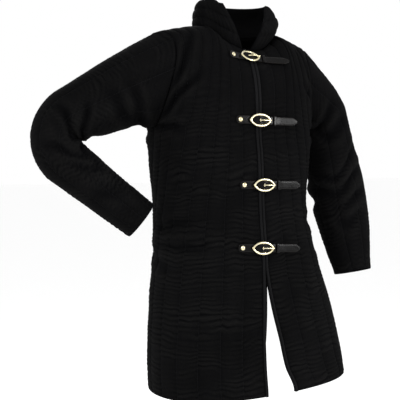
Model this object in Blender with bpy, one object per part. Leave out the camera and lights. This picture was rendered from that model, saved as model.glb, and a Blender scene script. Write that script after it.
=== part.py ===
"""Gambeson in its worn form: quilted panels, sleeves and collar, closed by four straps and buckles.

Metres, +Z up. The front faces -Y and the wearer's left is +X. The origin is the middle of the neck
opening, level with the foot of the collar.
"""

import math

import bmesh
import bpy
import numpy as np
from mathutils import Vector

# Walls, seams and quilting
WALL = 0.004
SEAM = 0.0005
CHANNEL_RISE = 0.0035
BINDING_RISE = 0.0037
BINDING_WIDTH = 0.0075
CHANNEL_COLUMNS = 4

# Heights
HEM_Z = -0.863
ARMPIT_Z = -0.225
SLIT_TOP_Z = -0.56

# Torso rings from hem to armpit. Square pulls a ring from an ellipse towards a rounded box.
RINGS = {
    "z": (-0.863, -0.800, -0.735, -0.655, -0.560, -0.4175, -0.300, -0.225),
    "half_width": (0.258, 0.255, 0.247, 0.234, 0.214, 0.192, 0.200, 0.209),
    "half_depth": (0.180, 0.175, 0.170, 0.164, 0.156, 0.150, 0.148, 0.142),
    "centre_x": (0.047, 0.041, 0.034, 0.024, 0.011, -0.006, -0.008, -0.009),
    "square": (0.030, 0.030, 0.030, 0.030, 0.030, 0.035, 0.040, 0.045),
}

# Where the panels' edges run. Edges are metres from the ring's front middle, towards the wearer's
# left. Seams are shares of the way round from the front middle to the back middle.
EDGES = {
    "z": (-0.863, -0.800, -0.735, -0.655, -0.560, -0.4175, -0.300, -0.225),
    "right_edge": (-0.055, -0.051, -0.044, -0.031, -0.015, -0.005, -0.006, -0.007),
    "left_edge": (0.020, 0.003, -0.004, -0.013, -0.015, -0.005, -0.006, -0.007),
    "right_seam": (0.700, 0.700, 0.700, 0.700, 0.700, 0.640, 0.553, 0.500),
    "left_seam": (0.656, 0.662, 0.668, 0.680, 0.700, 0.640, 0.553, 0.500),
    "right_back": (0.712, 0.710, 0.708, 0.704, 0.700, 0.640, 0.553, 0.500),
    "left_back": (0.775, 0.762, 0.748, 0.730, 0.700, 0.640, 0.553, 0.500),
}

# Neck and shoulders. TILT lowers the left shoulder and lifts the right; HEM_TILT does the reverse
NECK_X = 0.100
NECK_Z = 0.014
NECK_FRONT = 0.078
NECK_BACK = 0.085
NECK_DROP_FRONT = 0.056
NECK_DROP_BACK = 0.006
SHOULDER_X = 0.218
SHOULDER_Z = -0.014
SHOULDER_SHARE = 0.42
NECK_SHARE = SHOULDER_SHARE / 2
ARMHOLE_BITE = 0.085
CHEST_SQUARE = 0.05
NECK_TURN = math.radians(50)
TILT = -0.055
HEM_TILT = 0.050

# Collar: height, outward lean, and how far each front edge has swung from the middle at the top
COLLAR_HEIGHT = 0.068
COLLAR_LEAN = -0.013
COLLAR_BULGE_RIGHT = 0.006
COLLAR_BULGE_LEFT = 0.026
COLLAR_OPEN_RIGHT = 0.050
COLLAR_OPEN_LEFT = 0.050
COLLAR_FRONT_DROP = 0.012
COLLAR_BANDS = 3

# Sleeve routes: corner points with the radius of the bend there, from armhole to cuff
SLEEVE_RIGHT_CORNERS = (
    ((-0.205, 0.002, -0.105), 0.0),
    ((-0.496, 0.088, -0.245), 0.067),
    ((-0.258, -0.008, -0.447), 0.0),
)
SLEEVE_LEFT_CORNERS = (
    ((0.205, 0.002, -0.128), 0.0),
    ((0.268, 0.012, -0.178), 0.080),
    ((0.368, 0.042, -0.403), 0.200),
    ((0.377, -0.010, -0.606), 0.0),
)
# Sleeve girth by share of the route: half width in the plane of the bend, and half depth across it
GIRTH = {
    "share": (0.00, 0.18, 0.35, 0.55, 0.72, 0.88, 1.00),
    "right": (0.086, 0.081, 0.070, 0.058, 0.053, 0.049, 0.047),
    "left": (0.086, 0.068, 0.068, 0.080, 0.078, 0.064, 0.051),
    "depth": (0.086, 0.082, 0.077, 0.068, 0.060, 0.052, 0.047),
}
SLEEVE_ROWS = 22
HEAD_LENGTH = 0.115

# Folds pressed into a sleeve: share of the route, column share round it, depth, and half length
RIGHT_FOLDS = ((0.36, 0.00, 0.007, 0.030), (0.47, 0.06, 0.010, 0.030), (0.56, 0.94, 0.009, 0.030))
LEFT_FOLDS = ((0.20, 0.12, 0.006, 0.030), (0.52, 0.05, 0.007, 0.035), (0.62, 0.90, 0.005, 0.030))

# Closures: height, fall of the strap's free end, and how far the bar lies to the left of the front edge
CLOSURES = ((-0.064, 0.120, -0.011), (-0.210, 0.03, 0.0), (-0.3625, 0.02, 0.004), (-0.5125, 0.05, -0.008))
STRAP_WIDTH = 0.019
STRAP_THICK = 0.0020
STRAP_FOOT = -0.062
STRAP_TIP = 0.106
STRAP_SLOT = 0.0042
FRAME_HALF_LENGTH = 0.027
FRAME_HALF_HEIGHT = 0.0130
FRAME_WIRE = 0.0021
TONGUE_WIRE = 0.0013
FRAME_OUT = 0.0072
CHAPE_SEAT = 0.0003
CHAPE_THICK = 0.0013
CHAPE_LIFT = 0.0030
RIVET_AT = -0.051
RIVET_RADIUS = 0.0056
KEEPER_AT = 0.041
FREE_FROM = 0.050
SLOT_START = -0.0062
SLOT_END = 0.0055

COLOURS = {
    "quilted_cloth": ((0.012, 0.012, 0.013), 0.92, 0.0),
    "binding_tape": ((0.020, 0.020, 0.021), 0.80, 0.0),
    "strap_leather": ((0.010, 0.009, 0.009), 0.32, 0.0),
    "brass": ((0.78, 0.60, 0.30), 0.24, 1.0),
}


def smooth(low, high, value):
    share = np.clip((value - low) / (high - low), 0.0, 1.0)
    return share * share * (3.0 - 2.0 * share)


def unit(vectors):
    return vectors / np.linalg.norm(vectors, axis=-1, keepdims=True)


def read_table(table, key, column, value):
    """Smooth reading of one column of a table, by a cubic through its rows."""
    xs = np.array(table[key])
    ys = np.array(table[column])
    slopes = np.gradient(ys, xs)
    slopes[0] = slopes[-1] = 0.0
    i = int(np.clip(np.searchsorted(xs, value) - 1, 0, len(xs) - 2))
    step = xs[i + 1] - xs[i]
    s = min(max((value - xs[i]) / step, 0.0), 1.0)
    start = ys[i] * (1 + 2 * s) * (1 - s) ** 2 + slopes[i] * step * s * (1 - s) ** 2
    end = ys[i + 1] * s * s * (3 - 2 * s) - slopes[i + 1] * step * s * s * (1 - s)
    return start + end


def ring_outline(z):
    """The ring at one height: its outline from front middle to back middle, and length along it."""
    angle = np.linspace(0.0, math.pi, 361)
    width, depth, middle, square = (
        read_table(RINGS, "z", name, z) for name in ("half_width", "half_depth", "centre_x", "square")
    )
    x = width * (np.sin(angle) + square * np.sin(3 * angle)) / (1 - square)
    y = -depth * (np.cos(angle) - square * np.cos(3 * angle)) / (1 - square)
    steps = np.hypot(np.diff(x), np.diff(y))
    along = np.concatenate(([0.0], np.cumsum(steps)))
    return x, y, along, middle


def half_girth(z):
    return ring_outline(z)[2][-1]


def on_ring(turns, z):
    """Points of a ring. Turns are 0 at the front middle and 1 or -1 at the back middle."""
    wrapped = (turns + 1.0) % 2.0 - 1.0
    x, y, along, middle = ring_outline(z)
    reach = np.abs(wrapped) * along[-1]
    side = np.where(wrapped < 0, -1.0, 1.0)
    return side * np.interp(reach, along, x), np.interp(reach, along, y), middle, side, np.abs(wrapped)


def top_of_column(share):
    """Where the cloth ends above the armpit: on the neckline, then along the shoulder."""
    front = share <= 0.5
    out = np.where(front, share, 1.0 - share)
    turn = np.minimum(out / NECK_SHARE, 1.0) * math.pi / 2
    past = np.maximum((out - NECK_SHARE) / (SHOULDER_SHARE - NECK_SHARE), 0.0)
    x = NECK_X * np.sin(turn) + (SHOULDER_X - NECK_X) * past
    y = np.where(front, -NECK_FRONT, NECK_BACK) * np.cos(turn)
    drop = np.where(front, NECK_DROP_FRONT, NECK_DROP_BACK)
    z = NECK_Z - drop * np.cos(turn) ** 2 + (SHOULDER_Z - NECK_Z) * past ** 1.15
    lean = NECK_TURN + (math.pi / 2 - NECK_TURN) * smooth(0.0, math.pi / 2, turn)
    return x, y, z, lean


def torso_row(turns, level):
    """Points of the torso at one level: -1 at the hem, 0 at the armpit, 1 at neck and shoulder."""
    if level <= 0.0:
        z = ARMPIT_Z + level * (ARMPIT_Z - HEM_Z)
        x, y, middle, side, share = on_ring(turns, z)
        points = np.stack((x + middle, y, np.full_like(x, z)), axis=1)
    else:
        x, y, middle, side, share = on_ring(turns, ARMPIT_Z)
        top_x, top_y, top_z, lean = top_of_column(share)
        climb = 2 / math.pi * math.asin(min((1 - math.cos(math.pi * level)) / 2, 1.0))
        angle = lean * climb
        forward = (np.cos(angle) - CHEST_SQUARE * np.cos(3 * angle)) / (1 - CHEST_SQUARE)
        rise = (np.sin(angle) + CHEST_SQUARE * np.sin(3 * angle)) / (1 - CHEST_SQUARE)
        end = (np.cos(lean) - CHEST_SQUARE * np.cos(3 * lean)) / (1 - CHEST_SQUARE)
        top = (np.sin(lean) + CHEST_SQUARE * np.sin(3 * lean)) / (1 - CHEST_SQUARE)
        centre = (top_y - y * end) / (1 - end)
        lift = rise / top
        points = np.stack(
            (
                (x + middle) * (1 - lift) + side * top_x * lift,
                centre + (y - centre) * forward,
                ARMPIT_Z + (top_z - ARMPIT_Z) * lift,
            ),
            axis=1,
        )
        points[:, 1] += np.where(share <= 0.5, -0.5, 0.5) * SEAM * smooth(0.6, 1.0, level)
    low = 1.0 - smooth(HEM_Z, SLIT_TOP_Z, points[:, 2])
    points[:, 2] += TILT * points[:, 0] * smooth(-0.32, -0.05, points[:, 2])
    points[:, 2] += HEM_TILT * points[:, 0] * low
    return points


def torso_normals(turns, level):
    """Outward normals of the torso, worked out from points close by."""
    near = 0.002
    across = torso_row(turns + near, level) - torso_row(turns - near, level)
    up = torso_row(turns, level) - torso_row(turns, level - near)
    return unit(np.cross(across, up))


def armhole_share(level):
    """How far round from the front middle, or from the back middle, the armhole's edge lies."""
    rise = (1 - math.cos(math.pi * level)) / 2
    return 0.5 + (SHOULDER_SHARE - 0.5) * rise - ARMHOLE_BITE * math.sin(math.pi * level)


def panel_ends(name, level):
    """The turns at which a panel or an edge binding starts and ends at one level."""
    z = ARMPIT_Z + min(level, 0.0) * (ARMPIT_Z - HEM_Z)
    girth = half_girth(z)
    gap = SEAM / 2 / girth
    tape = BINDING_WIDTH / girth
    right = read_table(EDGES, "z", "right_edge", z) / girth - gap
    left = max(read_table(EDGES, "z", "left_edge", z) / girth, right + gap) + gap
    if name == "edge_right":
        return right, right - tape
    if name == "edge_left":
        return left, left + tape
    if level > 0:
        front_end = armhole_share(level) - gap
        back_start = front_end - 1
        back_end = -1 - front_end
    else:
        right_seam, left_seam, right_back, left_back = (
            read_table(EDGES, "z", column, z)
            for column in ("right_seam", "left_seam", "right_back", "left_back")
        )
        back_start = -max(right_back, right_seam) - gap
        back_end = max(left_back, left_seam) + gap - 2
        front_end = (right_seam if name == "front_right" else left_seam) - gap
    if name == "front_right":
        return right - tape - 2 * gap, -front_end
    if name == "front_left":
        return left + tape + 2 * gap, front_end
    return back_start, back_end


def panel_turns(name, level, columns):
    """Turns of every column of a piece at one level. The neck's corner is a panel's middle column."""
    start, end = panel_ends(name, level)
    share = np.linspace(0.0, 1.0, columns + 1)
    even = start + (end - start) * share
    if level <= 0 or not name.startswith("front"):
        return even
    side = math.copysign(1.0, end)
    full = side * 0.5
    crowded = start + (full - start) * share + (end - full) * share ** 2.5
    neck = side * NECK_SHARE
    cornered = np.where(
        share < 0.5, start + (neck - start) * share * 2, neck + (end - neck) * (share * 2 - 1)
    )
    return crowded + (cornered - crowded) * smooth(0.35, 1.0, level)


def quilting(columns, rows, edge_rise=0.0):
    """Rise of each point over the stitch lines: raised channels, pressed flat at the piece's edges."""
    phase = (np.arange(columns + 1) % CHANNEL_COLUMNS) / CHANNEL_COLUMNS
    rise = CHANNEL_RISE * np.sin(math.pi * phase) ** 0.7
    field = np.tile(rise, (rows + 1, 1))
    field[0] = field[-1] = edge_rise
    field[:, 0] = field[:, -1] = edge_rise
    return field


def add_sheet(work, points, closed=False):
    """Vertices and faces of one surface, row by row. A closed sheet joins its last column to its first."""
    rows, columns = points.shape[:2]
    verts = [[work.verts.new(Vector(point)) for point in row] for row in points]
    last = columns if closed else columns - 1
    for i in range(rows - 1):
        for j in range(last):
            k = (j + 1) % columns
            work.faces.new((verts[i][j], verts[i][k], verts[i + 1][k], verts[i + 1][j]))
    return verts


def rim(work, line):
    """Faces between a closed line of outer vertices and the inner vertices that some of them have.

    Short steps lean on their lower end, so that two pieces that share a seam have the same rim there.
    """
    count = len(line)
    starts = [i for i, (_, inner) in enumerate(line) if inner]
    for here, there in zip(starts, starts[1:] + [starts[0] + count]):
        (vertex, inner), (last, following) = line[here], line[there % count]
        middle = (here + there) // 2
        if there - here <= 2:
            middle = there if vertex.co.z < last.co.z else here
        for i in range(here, there):
            near = inner if i < middle else following
            work.faces.new((line[i % count][0], line[(i + 1) % count][0], near))
        work.faces.new((inner, line[middle % count][0], following))


def border(rows):
    """The entries round the edge of a grid, in order."""
    return rows[0][:-1] + [row[-1] for row in rows[:-1]] + rows[-1][:0:-1] + [row[0] for row in rows[:0:-1]]


def paired(outer, inner, step):
    """Each outer vertex of a grid with the inner vertex under it, or None between inner columns."""
    return [
        [(vertex, below[j // step] if j % step == 0 else None) for j, vertex in enumerate(row)]
        for row, below in zip(outer, inner)
    ]


def finish_solid(name, work, material):
    bmesh.ops.recalc_face_normals(work, faces=work.faces[:])
    bmesh.ops.triangulate(work, faces=work.faces[:])
    mesh = bpy.data.meshes.new(name)
    work.to_mesh(mesh)
    work.free()
    piece = bpy.data.objects.new(name, mesh)
    piece.data.materials.append(material)
    mesh.shade_smooth()
    mesh.set_sharp_from_angle(angle=math.radians(40))
    bpy.context.scene.collection.objects.link(piece)
    return piece


def wall_between(name, outer, inner, material, step):
    """One closed wall: a fine outer sheet, a plain inner sheet with every step-th column, and rims."""
    work = bmesh.new()
    outer_verts = add_sheet(work, outer)
    inner_verts = add_sheet(work, inner[:, ::step])
    rim(work, border(paired(outer_verts, inner_verts, step)))
    return finish_solid(name, work, material)


def tube_between(name, outer, inner, material, step):
    """One closed wall round a tube that is open at both ends."""
    work = bmesh.new()
    outer_verts = add_sheet(work, outer, closed=True)
    inner_verts = add_sheet(work, inner[::2, ::step], closed=True)
    for end in (0, -1):
        rim(work, paired(outer_verts[end:][:1], inner_verts[end:][:1], step)[0])
    return finish_solid(name, work, material)


def mitre(one, other):
    """Direction from a seam's outer line to its inner line, between two walls, for a wall of 1."""
    cosine = np.sum(one * other, axis=-1, keepdims=True)
    return -(one + other) / np.maximum(1 + cosine, 0.5)


def panel_levels(rows_below, rows_above):
    hem_turn = 0.012 / (ARMPIT_Z - HEM_Z)
    below = np.concatenate(([-1.0], np.linspace(-1.0 + hem_turn, 0.0, rows_below)))
    return np.concatenate((below, np.linspace(0.0, 1.0, rows_above + 1)[1:]))


ROWS_BELOW = 13
ROWS_ABOVE = 8
LEVELS = panel_levels(ROWS_BELOW, ROWS_ABOVE)


def panel_grids(name, columns):
    """Points and outward normals of a panel on the torso."""
    turns = [panel_turns(name, level, columns) for level in LEVELS]
    points = np.array([torso_row(row, level) for row, level in zip(turns, LEVELS)])
    normals = np.array([torso_normals(row, level) for row, level in zip(turns, LEVELS)])
    return points, normals


def armhole_ring(front, back, back_column):
    """Points and torso normals round one armhole: up the front, over and down the back."""
    up = slice(ROWS_BELOW, None)
    points = np.concatenate((front[0][up, -1], back[0][up, back_column][::-1][1:-1]))
    points[ROWS_ABOVE] = (front[0][-1, -1] + back[0][-1, back_column]) / 2
    normals = np.concatenate((front[1][up, -1], back[1][up, back_column][::-1][1:-1]))
    return points, normals


def halve_segments(ring):
    """A ring with a point added in the middle of every segment."""
    following = np.roll(ring, -1, axis=0)
    return np.stack((ring, (ring + following) / 2), axis=1).reshape(-1, 3)


def seam_lines(ring, normals, axis):
    """For a ring that a tube joins: direction to the inner line, and the way the tube stands off."""
    centre = ring.mean(axis=0)
    spokes = ring - centre
    spokes -= np.outer(spokes @ axis, axis)
    inward = mitre(normals, unit(spokes))
    along = unit(inward)
    away = unit(axis - (along @ axis)[:, None] * along)
    return inward, away


def rounded_route(corners, samples=400):
    """A route of straight runs with a round bend at each corner, as evenly spaced points."""
    points = [np.array(corner[0]) for corner in corners]
    route = [points[0]]
    for before, here, after, radius in zip(points, points[1:], points[2:], [c[1] for c in corners[1:-1]]):
        back, ahead = unit(before - here), unit(after - here)
        half_angle = math.acos(float(back @ ahead)) / 2
        centre = here + unit(back + ahead) * radius / math.sin(half_angle)
        start = here + back * radius / math.tan(half_angle) - centre
        end = here + ahead * radius / math.tan(half_angle) - centre
        sweep = math.pi - 2 * half_angle
        for share in np.linspace(0.0, 1.0, 25):
            weights = math.sin((1 - share) * sweep), math.sin(share * sweep)
            route.append(centre + (start * weights[0] + end * weights[1]) / math.sin(sweep))
    route.append(points[-1])
    route = np.array(route)
    along = np.concatenate(([0.0], np.cumsum(np.linalg.norm(np.diff(route, axis=0), axis=1))))
    even = np.linspace(0.0, along[-1], samples)
    return np.stack([np.interp(even, along, route[:, i]) for i in range(3)], axis=1), along[-1]


def sleeve_surface(side, corners, ring, rows, folds):
    """Grid of the sleeve's points, from its armhole ring to its cuff."""
    route, length = rounded_route(corners)
    tangents = unit(np.gradient(route, axis=0))
    down = unit(ring[0] - ring.mean(axis=0))
    downs = []
    for tangent in tangents:
        down = unit(down - (down @ tangent) * tangent)
        downs.append(down)
    columns = len(ring)
    spin = 2 * math.pi * np.arange(columns) / columns
    front = np.array((0.0, -1.0, 0.0))
    grid = []
    for share in np.linspace(0.0, 1.0, rows + 1):
        at = int(round(share * (len(route) - 1)))
        half_width = read_table(GIRTH, "share", side, share)
        depth = read_table(GIRTH, "share", "depth", share)
        across = np.cross(downs[at], tangents[at])
        across *= np.sign(across @ front) if abs(across @ front) > 0.05 else 1.0
        circle = half_width * np.cos(spin)[:, None] * downs[at] + depth * np.sin(spin)[:, None] * across
        blend = smooth(0.0, HEAD_LENGTH, share * length)
        spokes = (1 - blend) * (ring - ring.mean(axis=0)) + blend * circle
        for fold_at, column, deep, half in folds:
            away = (share - fold_at) * length / half
            round_it = np.abs((np.arange(columns) / columns - column + 0.5) % 1.0 - 0.5)
            press = deep * math.exp(-away * away * 3) * np.exp(-(round_it / 0.13) ** 2)
            spokes = spokes * (1 - press[:, None] / np.linalg.norm(spokes, axis=1, keepdims=True))
        grid.append(route[at] + spokes)
    return np.array(grid)


def tube_normals(grid):
    round_it = np.roll(grid, -1, axis=1) - np.roll(grid, 1, axis=1)
    along = np.gradient(grid, axis=0)
    normals = unit(np.cross(round_it, along))
    middles = grid.mean(axis=1, keepdims=True)
    facing = np.sign(np.sum(normals * (grid - middles), axis=(1, 2), keepdims=True))
    return normals * facing


def make_sleeve(side, ring, ring_normals, corners, folds, material):
    """A sleeve from its armhole ring. Returns the inward lines that the panels share at that seam."""
    axis = np.array((np.sign(corners[0][0][0]), 0.0, 0.0))
    inward, away = seam_lines(ring, ring_normals, axis)
    points = halve_segments(ring)
    moved = ((tuple(points.mean(axis=0)), 0.0),) + corners[1:]
    grid = sleeve_surface(side, moved, points, SLEEVE_ROWS, folds)
    normals = tube_normals(grid)
    columns = points.shape[0]
    phase = (np.arange(columns) % CHANNEL_COLUMNS) / CHANNEL_COLUMNS
    rise = np.tile(CHANNEL_RISE * np.sin(math.pi * phase) ** 0.7, (SLEEVE_ROWS + 1, 1))
    rise[0] = rise[-1] = 0.0
    outer = grid + normals * rise[:, :, None]
    inner = grid - normals * WALL
    outer[0] = halve_segments(ring + away * SEAM)
    inner[0] = halve_segments(ring + away * SEAM + inward * WALL)
    tube_between("sleeve_" + side, outer, inner, material, 2)
    return inward


def collar_grids(base):
    """Points and normals of the collar, over the neckline from its right front edge to its left."""
    count = len(base)
    middle = np.array((0.0, 0.004, 0.0))
    spokes = base - middle
    spokes[:, 2] = 0.0
    outward = unit(spokes)
    rows = COLLAR_BANDS * 2
    share_round = np.linspace(-1.0, 1.0, count)
    swing_right = COLLAR_OPEN_RIGHT * smooth(0.55, 1.0, -share_round)
    swing_left = COLLAR_OPEN_LEFT * smooth(0.55, 1.0, share_round)
    bulge = COLLAR_BULGE_RIGHT + (COLLAR_BULGE_LEFT - COLLAR_BULGE_RIGHT) * smooth(-0.3, 0.6, share_round)
    bulge = bulge[:, None]
    level_top = NECK_Z + COLLAR_HEIGHT
    grid = []
    for share in np.linspace(0.0, 1.0, rows + 1):
        row = base.copy()
        row += outward * (COLLAR_LEAN * share + bulge * math.sin(math.pi * share))
        row[:, 0] += (swing_left - swing_right) * share ** 1.3
        drop = COLLAR_FRONT_DROP * smooth(0.45, 1.0, np.abs(share_round))
        top = level_top - drop + TILT * base[:, 0] * 0.6
        row[:, 2] += (top - base[:, 2]) * share
        grid.append(row)
    grid = np.array(grid)
    across = np.gradient(grid, axis=1)
    up = np.gradient(grid, axis=0)
    normals = unit(np.cross(across, up))
    if np.sum(normals[0, count // 2] * outward[count // 2]) < 0:
        normals = -normals
    return grid, normals


def make_collar(base, base_normals, material):
    """The stand collar. Returns the inward lines that the panels share along the neckline."""
    grid, normals = collar_grids(base)
    inward = mitre(base_normals, normals[0])
    along = unit(inward)
    up = np.array((0.0, 0.0, 1.0))
    away = unit(up - (along @ up)[:, None] * along)
    rise = np.zeros(grid.shape[:2])
    rise[1::2] = CHANNEL_RISE * 0.8
    rise[-1] = rise[0] = 0.0
    rise[:, 0] = rise[:, -1] = 0.0
    outer = grid + normals * rise[:, :, None]
    inner = grid - normals * WALL
    outer[0] = base + away * SEAM * 2
    inner[0] = outer[0] + inward * WALL
    inner[:, 0] = grid[:, 0] - normals[:, 0] * WALL
    inner[0, 0] = outer[0, 0] + inward[0] * WALL
    wall_between("collar", outer, inner, material, CHANNEL_COLUMNS)
    return inward


def join_base(front_right, back, front_left):
    """The neckline from the right front edge, round the back, to the left front edge."""
    half_front = (front_right[0].shape[1] - 1) // 2
    quarter = (back[0].shape[1] - 1) // 4
    parts = []
    for index in (0, 1):
        right = front_right[index][-1, : half_front + 1]
        behind = back[index][-1, quarter : 3 * quarter + 1]
        left = front_left[index][-1, : half_front + 1][::-1]
        parts.append(np.concatenate((right, behind[1:-1], left)))
    return parts[0], parts[1], half_front, quarter


def make_panels(materials):
    """Fronts, back, sleeves and collar. The seams share their inner lines, so walls never cross."""
    front_columns, back_columns = 8 * CHANNEL_COLUMNS, 8 * CHANNEL_COLUMNS
    grids = {
        "front_right": panel_grids("front_right", front_columns),
        "front_left": panel_grids("front_left", front_columns),
        "back": panel_grids("back", back_columns),
    }
    cloth = materials["quilted_cloth"]
    inner_lines = {name: -normals * WALL for name, (points, normals) in grids.items()}
    for side, corners, folds, back_column in (
        ("right", SLEEVE_RIGHT_CORNERS, RIGHT_FOLDS, 0),
        ("left", SLEEVE_LEFT_CORNERS, LEFT_FOLDS, -1),
    ):
        front = "front_" + side
        ring, normals = armhole_ring(grids[front], grids["back"], back_column)
        inward = make_sleeve(side, ring, normals, corners, folds, cloth)
        count = ROWS_ABOVE + 1
        inner_lines[front][ROWS_BELOW:, -1] = inward[:count] * WALL
        back_part = np.concatenate((inward[count - 1 :], inward[:1]))[::-1]
        inner_lines["back"][ROWS_BELOW:, back_column] = back_part * WALL
    base, normals, half_front, quarter = join_base(
        grids["front_right"], grids["back"], grids["front_left"]
    )
    inward = make_collar(base, normals, cloth) * WALL
    inner_lines["front_right"][-1, : half_front + 1] = inward[: half_front + 1]
    inner_lines["front_left"][-1, : half_front + 1] = inward[::-1][: half_front + 1]
    inner_lines["back"][-1, quarter : 3 * quarter + 1] = inward[half_front:-half_front]
    for name, (points, normals) in grids.items():
        rows, columns = points.shape[0] - 1, points.shape[1] - 1
        outer = points + normals * quilting(columns, rows)[:, :, None]
        wall_between(name, outer, points + inner_lines[name], cloth, CHANNEL_COLUMNS)
    return grids


def make_binding(name, material):
    """The bound strip along one front edge, a little prouder than the channels."""
    turns = [panel_turns(name, level, 4) for level in LEVELS]
    points = np.array([torso_row(row, level) for row, level in zip(turns, LEVELS)])
    normals = np.array([torso_normals(row, level) for row, level in zip(turns, LEVELS)])
    profile = np.array((0.55, 0.95, 1.0, 0.95, 0.55)) * BINDING_RISE
    outer = points + normals * profile[None, :, None]
    wall_between(name, outer, points - normals * WALL, material, 2)


def level_at(turn, z):
    """The level at which the torso, at this turn, lies at this height."""
    low, high = -1.0, 1.0
    for _ in range(26):
        middle = (low + high) / 2
        if torso_row(np.array((turn,)), middle)[0, 2] < z:
            low = middle
        else:
            high = middle
    return low


class ClosureFrame:
    """Places a closure's points on the front: along the strap, out from the cloth, and up."""

    def __init__(self, z, fall, shift):
        girth = half_girth(min(z, ARMPIT_Z))
        middle = read_table(EDGES, "z", "right_edge", min(z, ARMPIT_Z)) / girth
        points, normals = [], []
        for turn in middle + np.linspace(-0.16, 0.20, 37):
            across = (turn - middle) * girth
            level = level_at(turn, z - fall * across)
            here = np.array((turn,))
            points.append(torso_row(here, level)[0])
            normals.append(torso_normals(here, level)[0])
        self.points, self.normals = np.array(points), np.array(normals)
        steps = np.linalg.norm(np.diff(self.points, axis=0), axis=1)
        self.along = np.concatenate(([0.0], np.cumsum(steps)))
        self.along -= self.along[16] + shift

    def surface(self, along):
        point, normal = (
            np.array([np.interp(along, self.along, table[:, i]) for i in range(3)])
            for table in (self.points, self.normals)
        )
        return point, unit(normal)

    def place(self, along, out, up):
        """A point of the closure. Past the keeper the strap runs straight on and lifts off."""
        free = max(along - FREE_FROM, 0.0)
        point, normal = self.surface(along - free)
        ahead = unit(self.surface(along - free + 0.004)[0] - self.surface(along - free - 0.004)[0])
        above = unit(np.cross(ahead, normal))
        above *= math.copysign(1.0, above[2])
        return Vector(point + ahead * free + normal * (out + BINDING_RISE) + above * up)


def strap_height(along):
    """How far the strap's middle stands over the cloth: over the bar, and lifted at its free end."""
    over_bar = 0.0078 * math.exp(-((along / 0.0105) ** 2))
    seated = 0.0014 + 0.0020 * float(smooth(-0.002, 0.020, along))
    return seated + over_bar + 0.006 * float(smooth(0.060, 0.106, along))


def strap_half_width(along):
    """Half the strap's width: rounded at the foot, pointed at the tip."""
    foot = math.sqrt(max(1 - (1 - min((along - STRAP_FOOT) / 0.009, 1.0)) ** 2, 0.0))
    tip = min((STRAP_TIP - along) / 0.016, 1.0)
    return STRAP_WIDTH / 2 * (0.25 + 0.75 * foot) * (0.22 + 0.78 * math.sin(tip * math.pi / 2))


def make_strap(index, place, material):
    """A flat strap with a slot at the bar, which the tongue comes up through."""
    stations = np.concatenate(
        (
            np.linspace(STRAP_FOOT, STRAP_FOOT + 0.009, 4),
            (-0.040, -0.028, -0.019, -0.013, SLOT_START, -0.002, 0.002, SLOT_END, 0.011, 0.016, 0.023),
            np.linspace(0.034, 0.088, 5),
            np.linspace(0.093, STRAP_TIP, 4),
        )
    )
    half_slot = STRAP_SLOT / 2
    work = bmesh.new()
    sheets = []
    for offset in (STRAP_THICK / 2, -STRAP_THICK / 2):
        rows = []
        for along in stations:
            half = strap_half_width(along)
            places = (-half, -min(half_slot, half * 0.5), min(half_slot, half * 0.5), half)
            rows.append([place(along, strap_height(along) + offset, up) for up in places])
        sheets.append([[work.verts.new(point) for point in row] for row in rows])
    low = int(np.argmin(np.abs(stations - SLOT_START)))
    high = int(np.argmin(np.abs(stations - SLOT_END)))
    top, bottom = sheets
    for i in range(len(stations) - 1):
        for j in range(3):
            if j == 1 and low <= i < high:
                continue
            for sheet in sheets:
                work.faces.new((sheet[i][j], sheet[i][j + 1], sheet[i + 1][j + 1], sheet[i + 1][j]))
        for j in (0, 3):
            work.faces.new((top[i][j], top[i + 1][j], bottom[i + 1][j], bottom[i][j]))
        if low <= i < high:
            for j in (1, 2):
                work.faces.new((top[i][j], top[i + 1][j], bottom[i + 1][j], bottom[i][j]))
    for j in range(3):
        for i in (0, len(stations) - 1):
            work.faces.new((top[i][j], top[i][j + 1], bottom[i][j + 1], bottom[i][j]))
    for i in (low, high):
        work.faces.new((top[i][1], top[i][2], bottom[i][2], bottom[i][1]))
    finish_solid(f"strap_{index}", work, material)


def ring_along(work, path, radius, sides, closed):
    """A round wire along a path of points with their two cross directions."""
    loops = []
    for point, first, second in path:
        loop = []
        for k in range(sides):
            angle = 2 * math.pi * (k + 0.5) / sides
            loop.append(work.verts.new(point + first * radius * math.cos(angle) + second * radius * math.sin(angle)))
        loops.append(loop)
    count = len(loops) if closed else len(loops) - 1
    for i in range(count):
        here, there = loops[i], loops[(i + 1) % len(loops)]
        for k in range(sides):
            n = (k + 1) % sides
            work.faces.new((here[k], here[n], there[n], there[k]))
    if not closed:
        work.faces.new(loops[0])
        work.faces.new(loops[-1][::-1])


def make_buckle(index, place, material):
    """The brass frame: a pointed oval with full shoulders, and its centre bar."""
    work = bmesh.new()
    path = []
    count = 28
    for k in range(count):
        angle = 2 * math.pi * k / count
        cosine, sine = math.cos(angle), math.sin(angle)
        along = FRAME_HALF_LENGTH * math.copysign(abs(cosine) ** 0.90, cosine)
        up = FRAME_HALF_HEIGHT * math.copysign(abs(sine) ** 1.25, sine)
        centre = place(along, FRAME_OUT, up)
        outward = (centre - place(0.0, FRAME_OUT, 0.0)).normalized()
        normal = (place(along, FRAME_OUT + 0.001, up) - centre).normalized()
        path.append((centre, outward, normal))
    ring_along(work, path, FRAME_WIRE, 6, True)
    frame = finish_solid(f"buckle_{index}", work, material)
    bar = bmesh.new()
    bar_path = []
    for up in (-FRAME_HALF_HEIGHT, FRAME_HALF_HEIGHT):
        centre = place(0.0, FRAME_OUT - 0.0008, up)
        ahead = (place(0.002, FRAME_OUT, up) - place(-0.002, FRAME_OUT, up)).normalized()
        normal = (place(0.0, FRAME_OUT, up) - centre).normalized()
        bar_path.append((centre, ahead, normal))
    ring_along(bar, bar_path, 0.0013, 8, False)
    helper = finish_solid(f"bar_{index}", bar, material)
    helper.hide_render = True
    helper.display_type = "WIRE"
    union = frame.modifiers.new("bar", "BOOLEAN")
    union.operation = "UNION"
    union.object = helper


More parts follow.
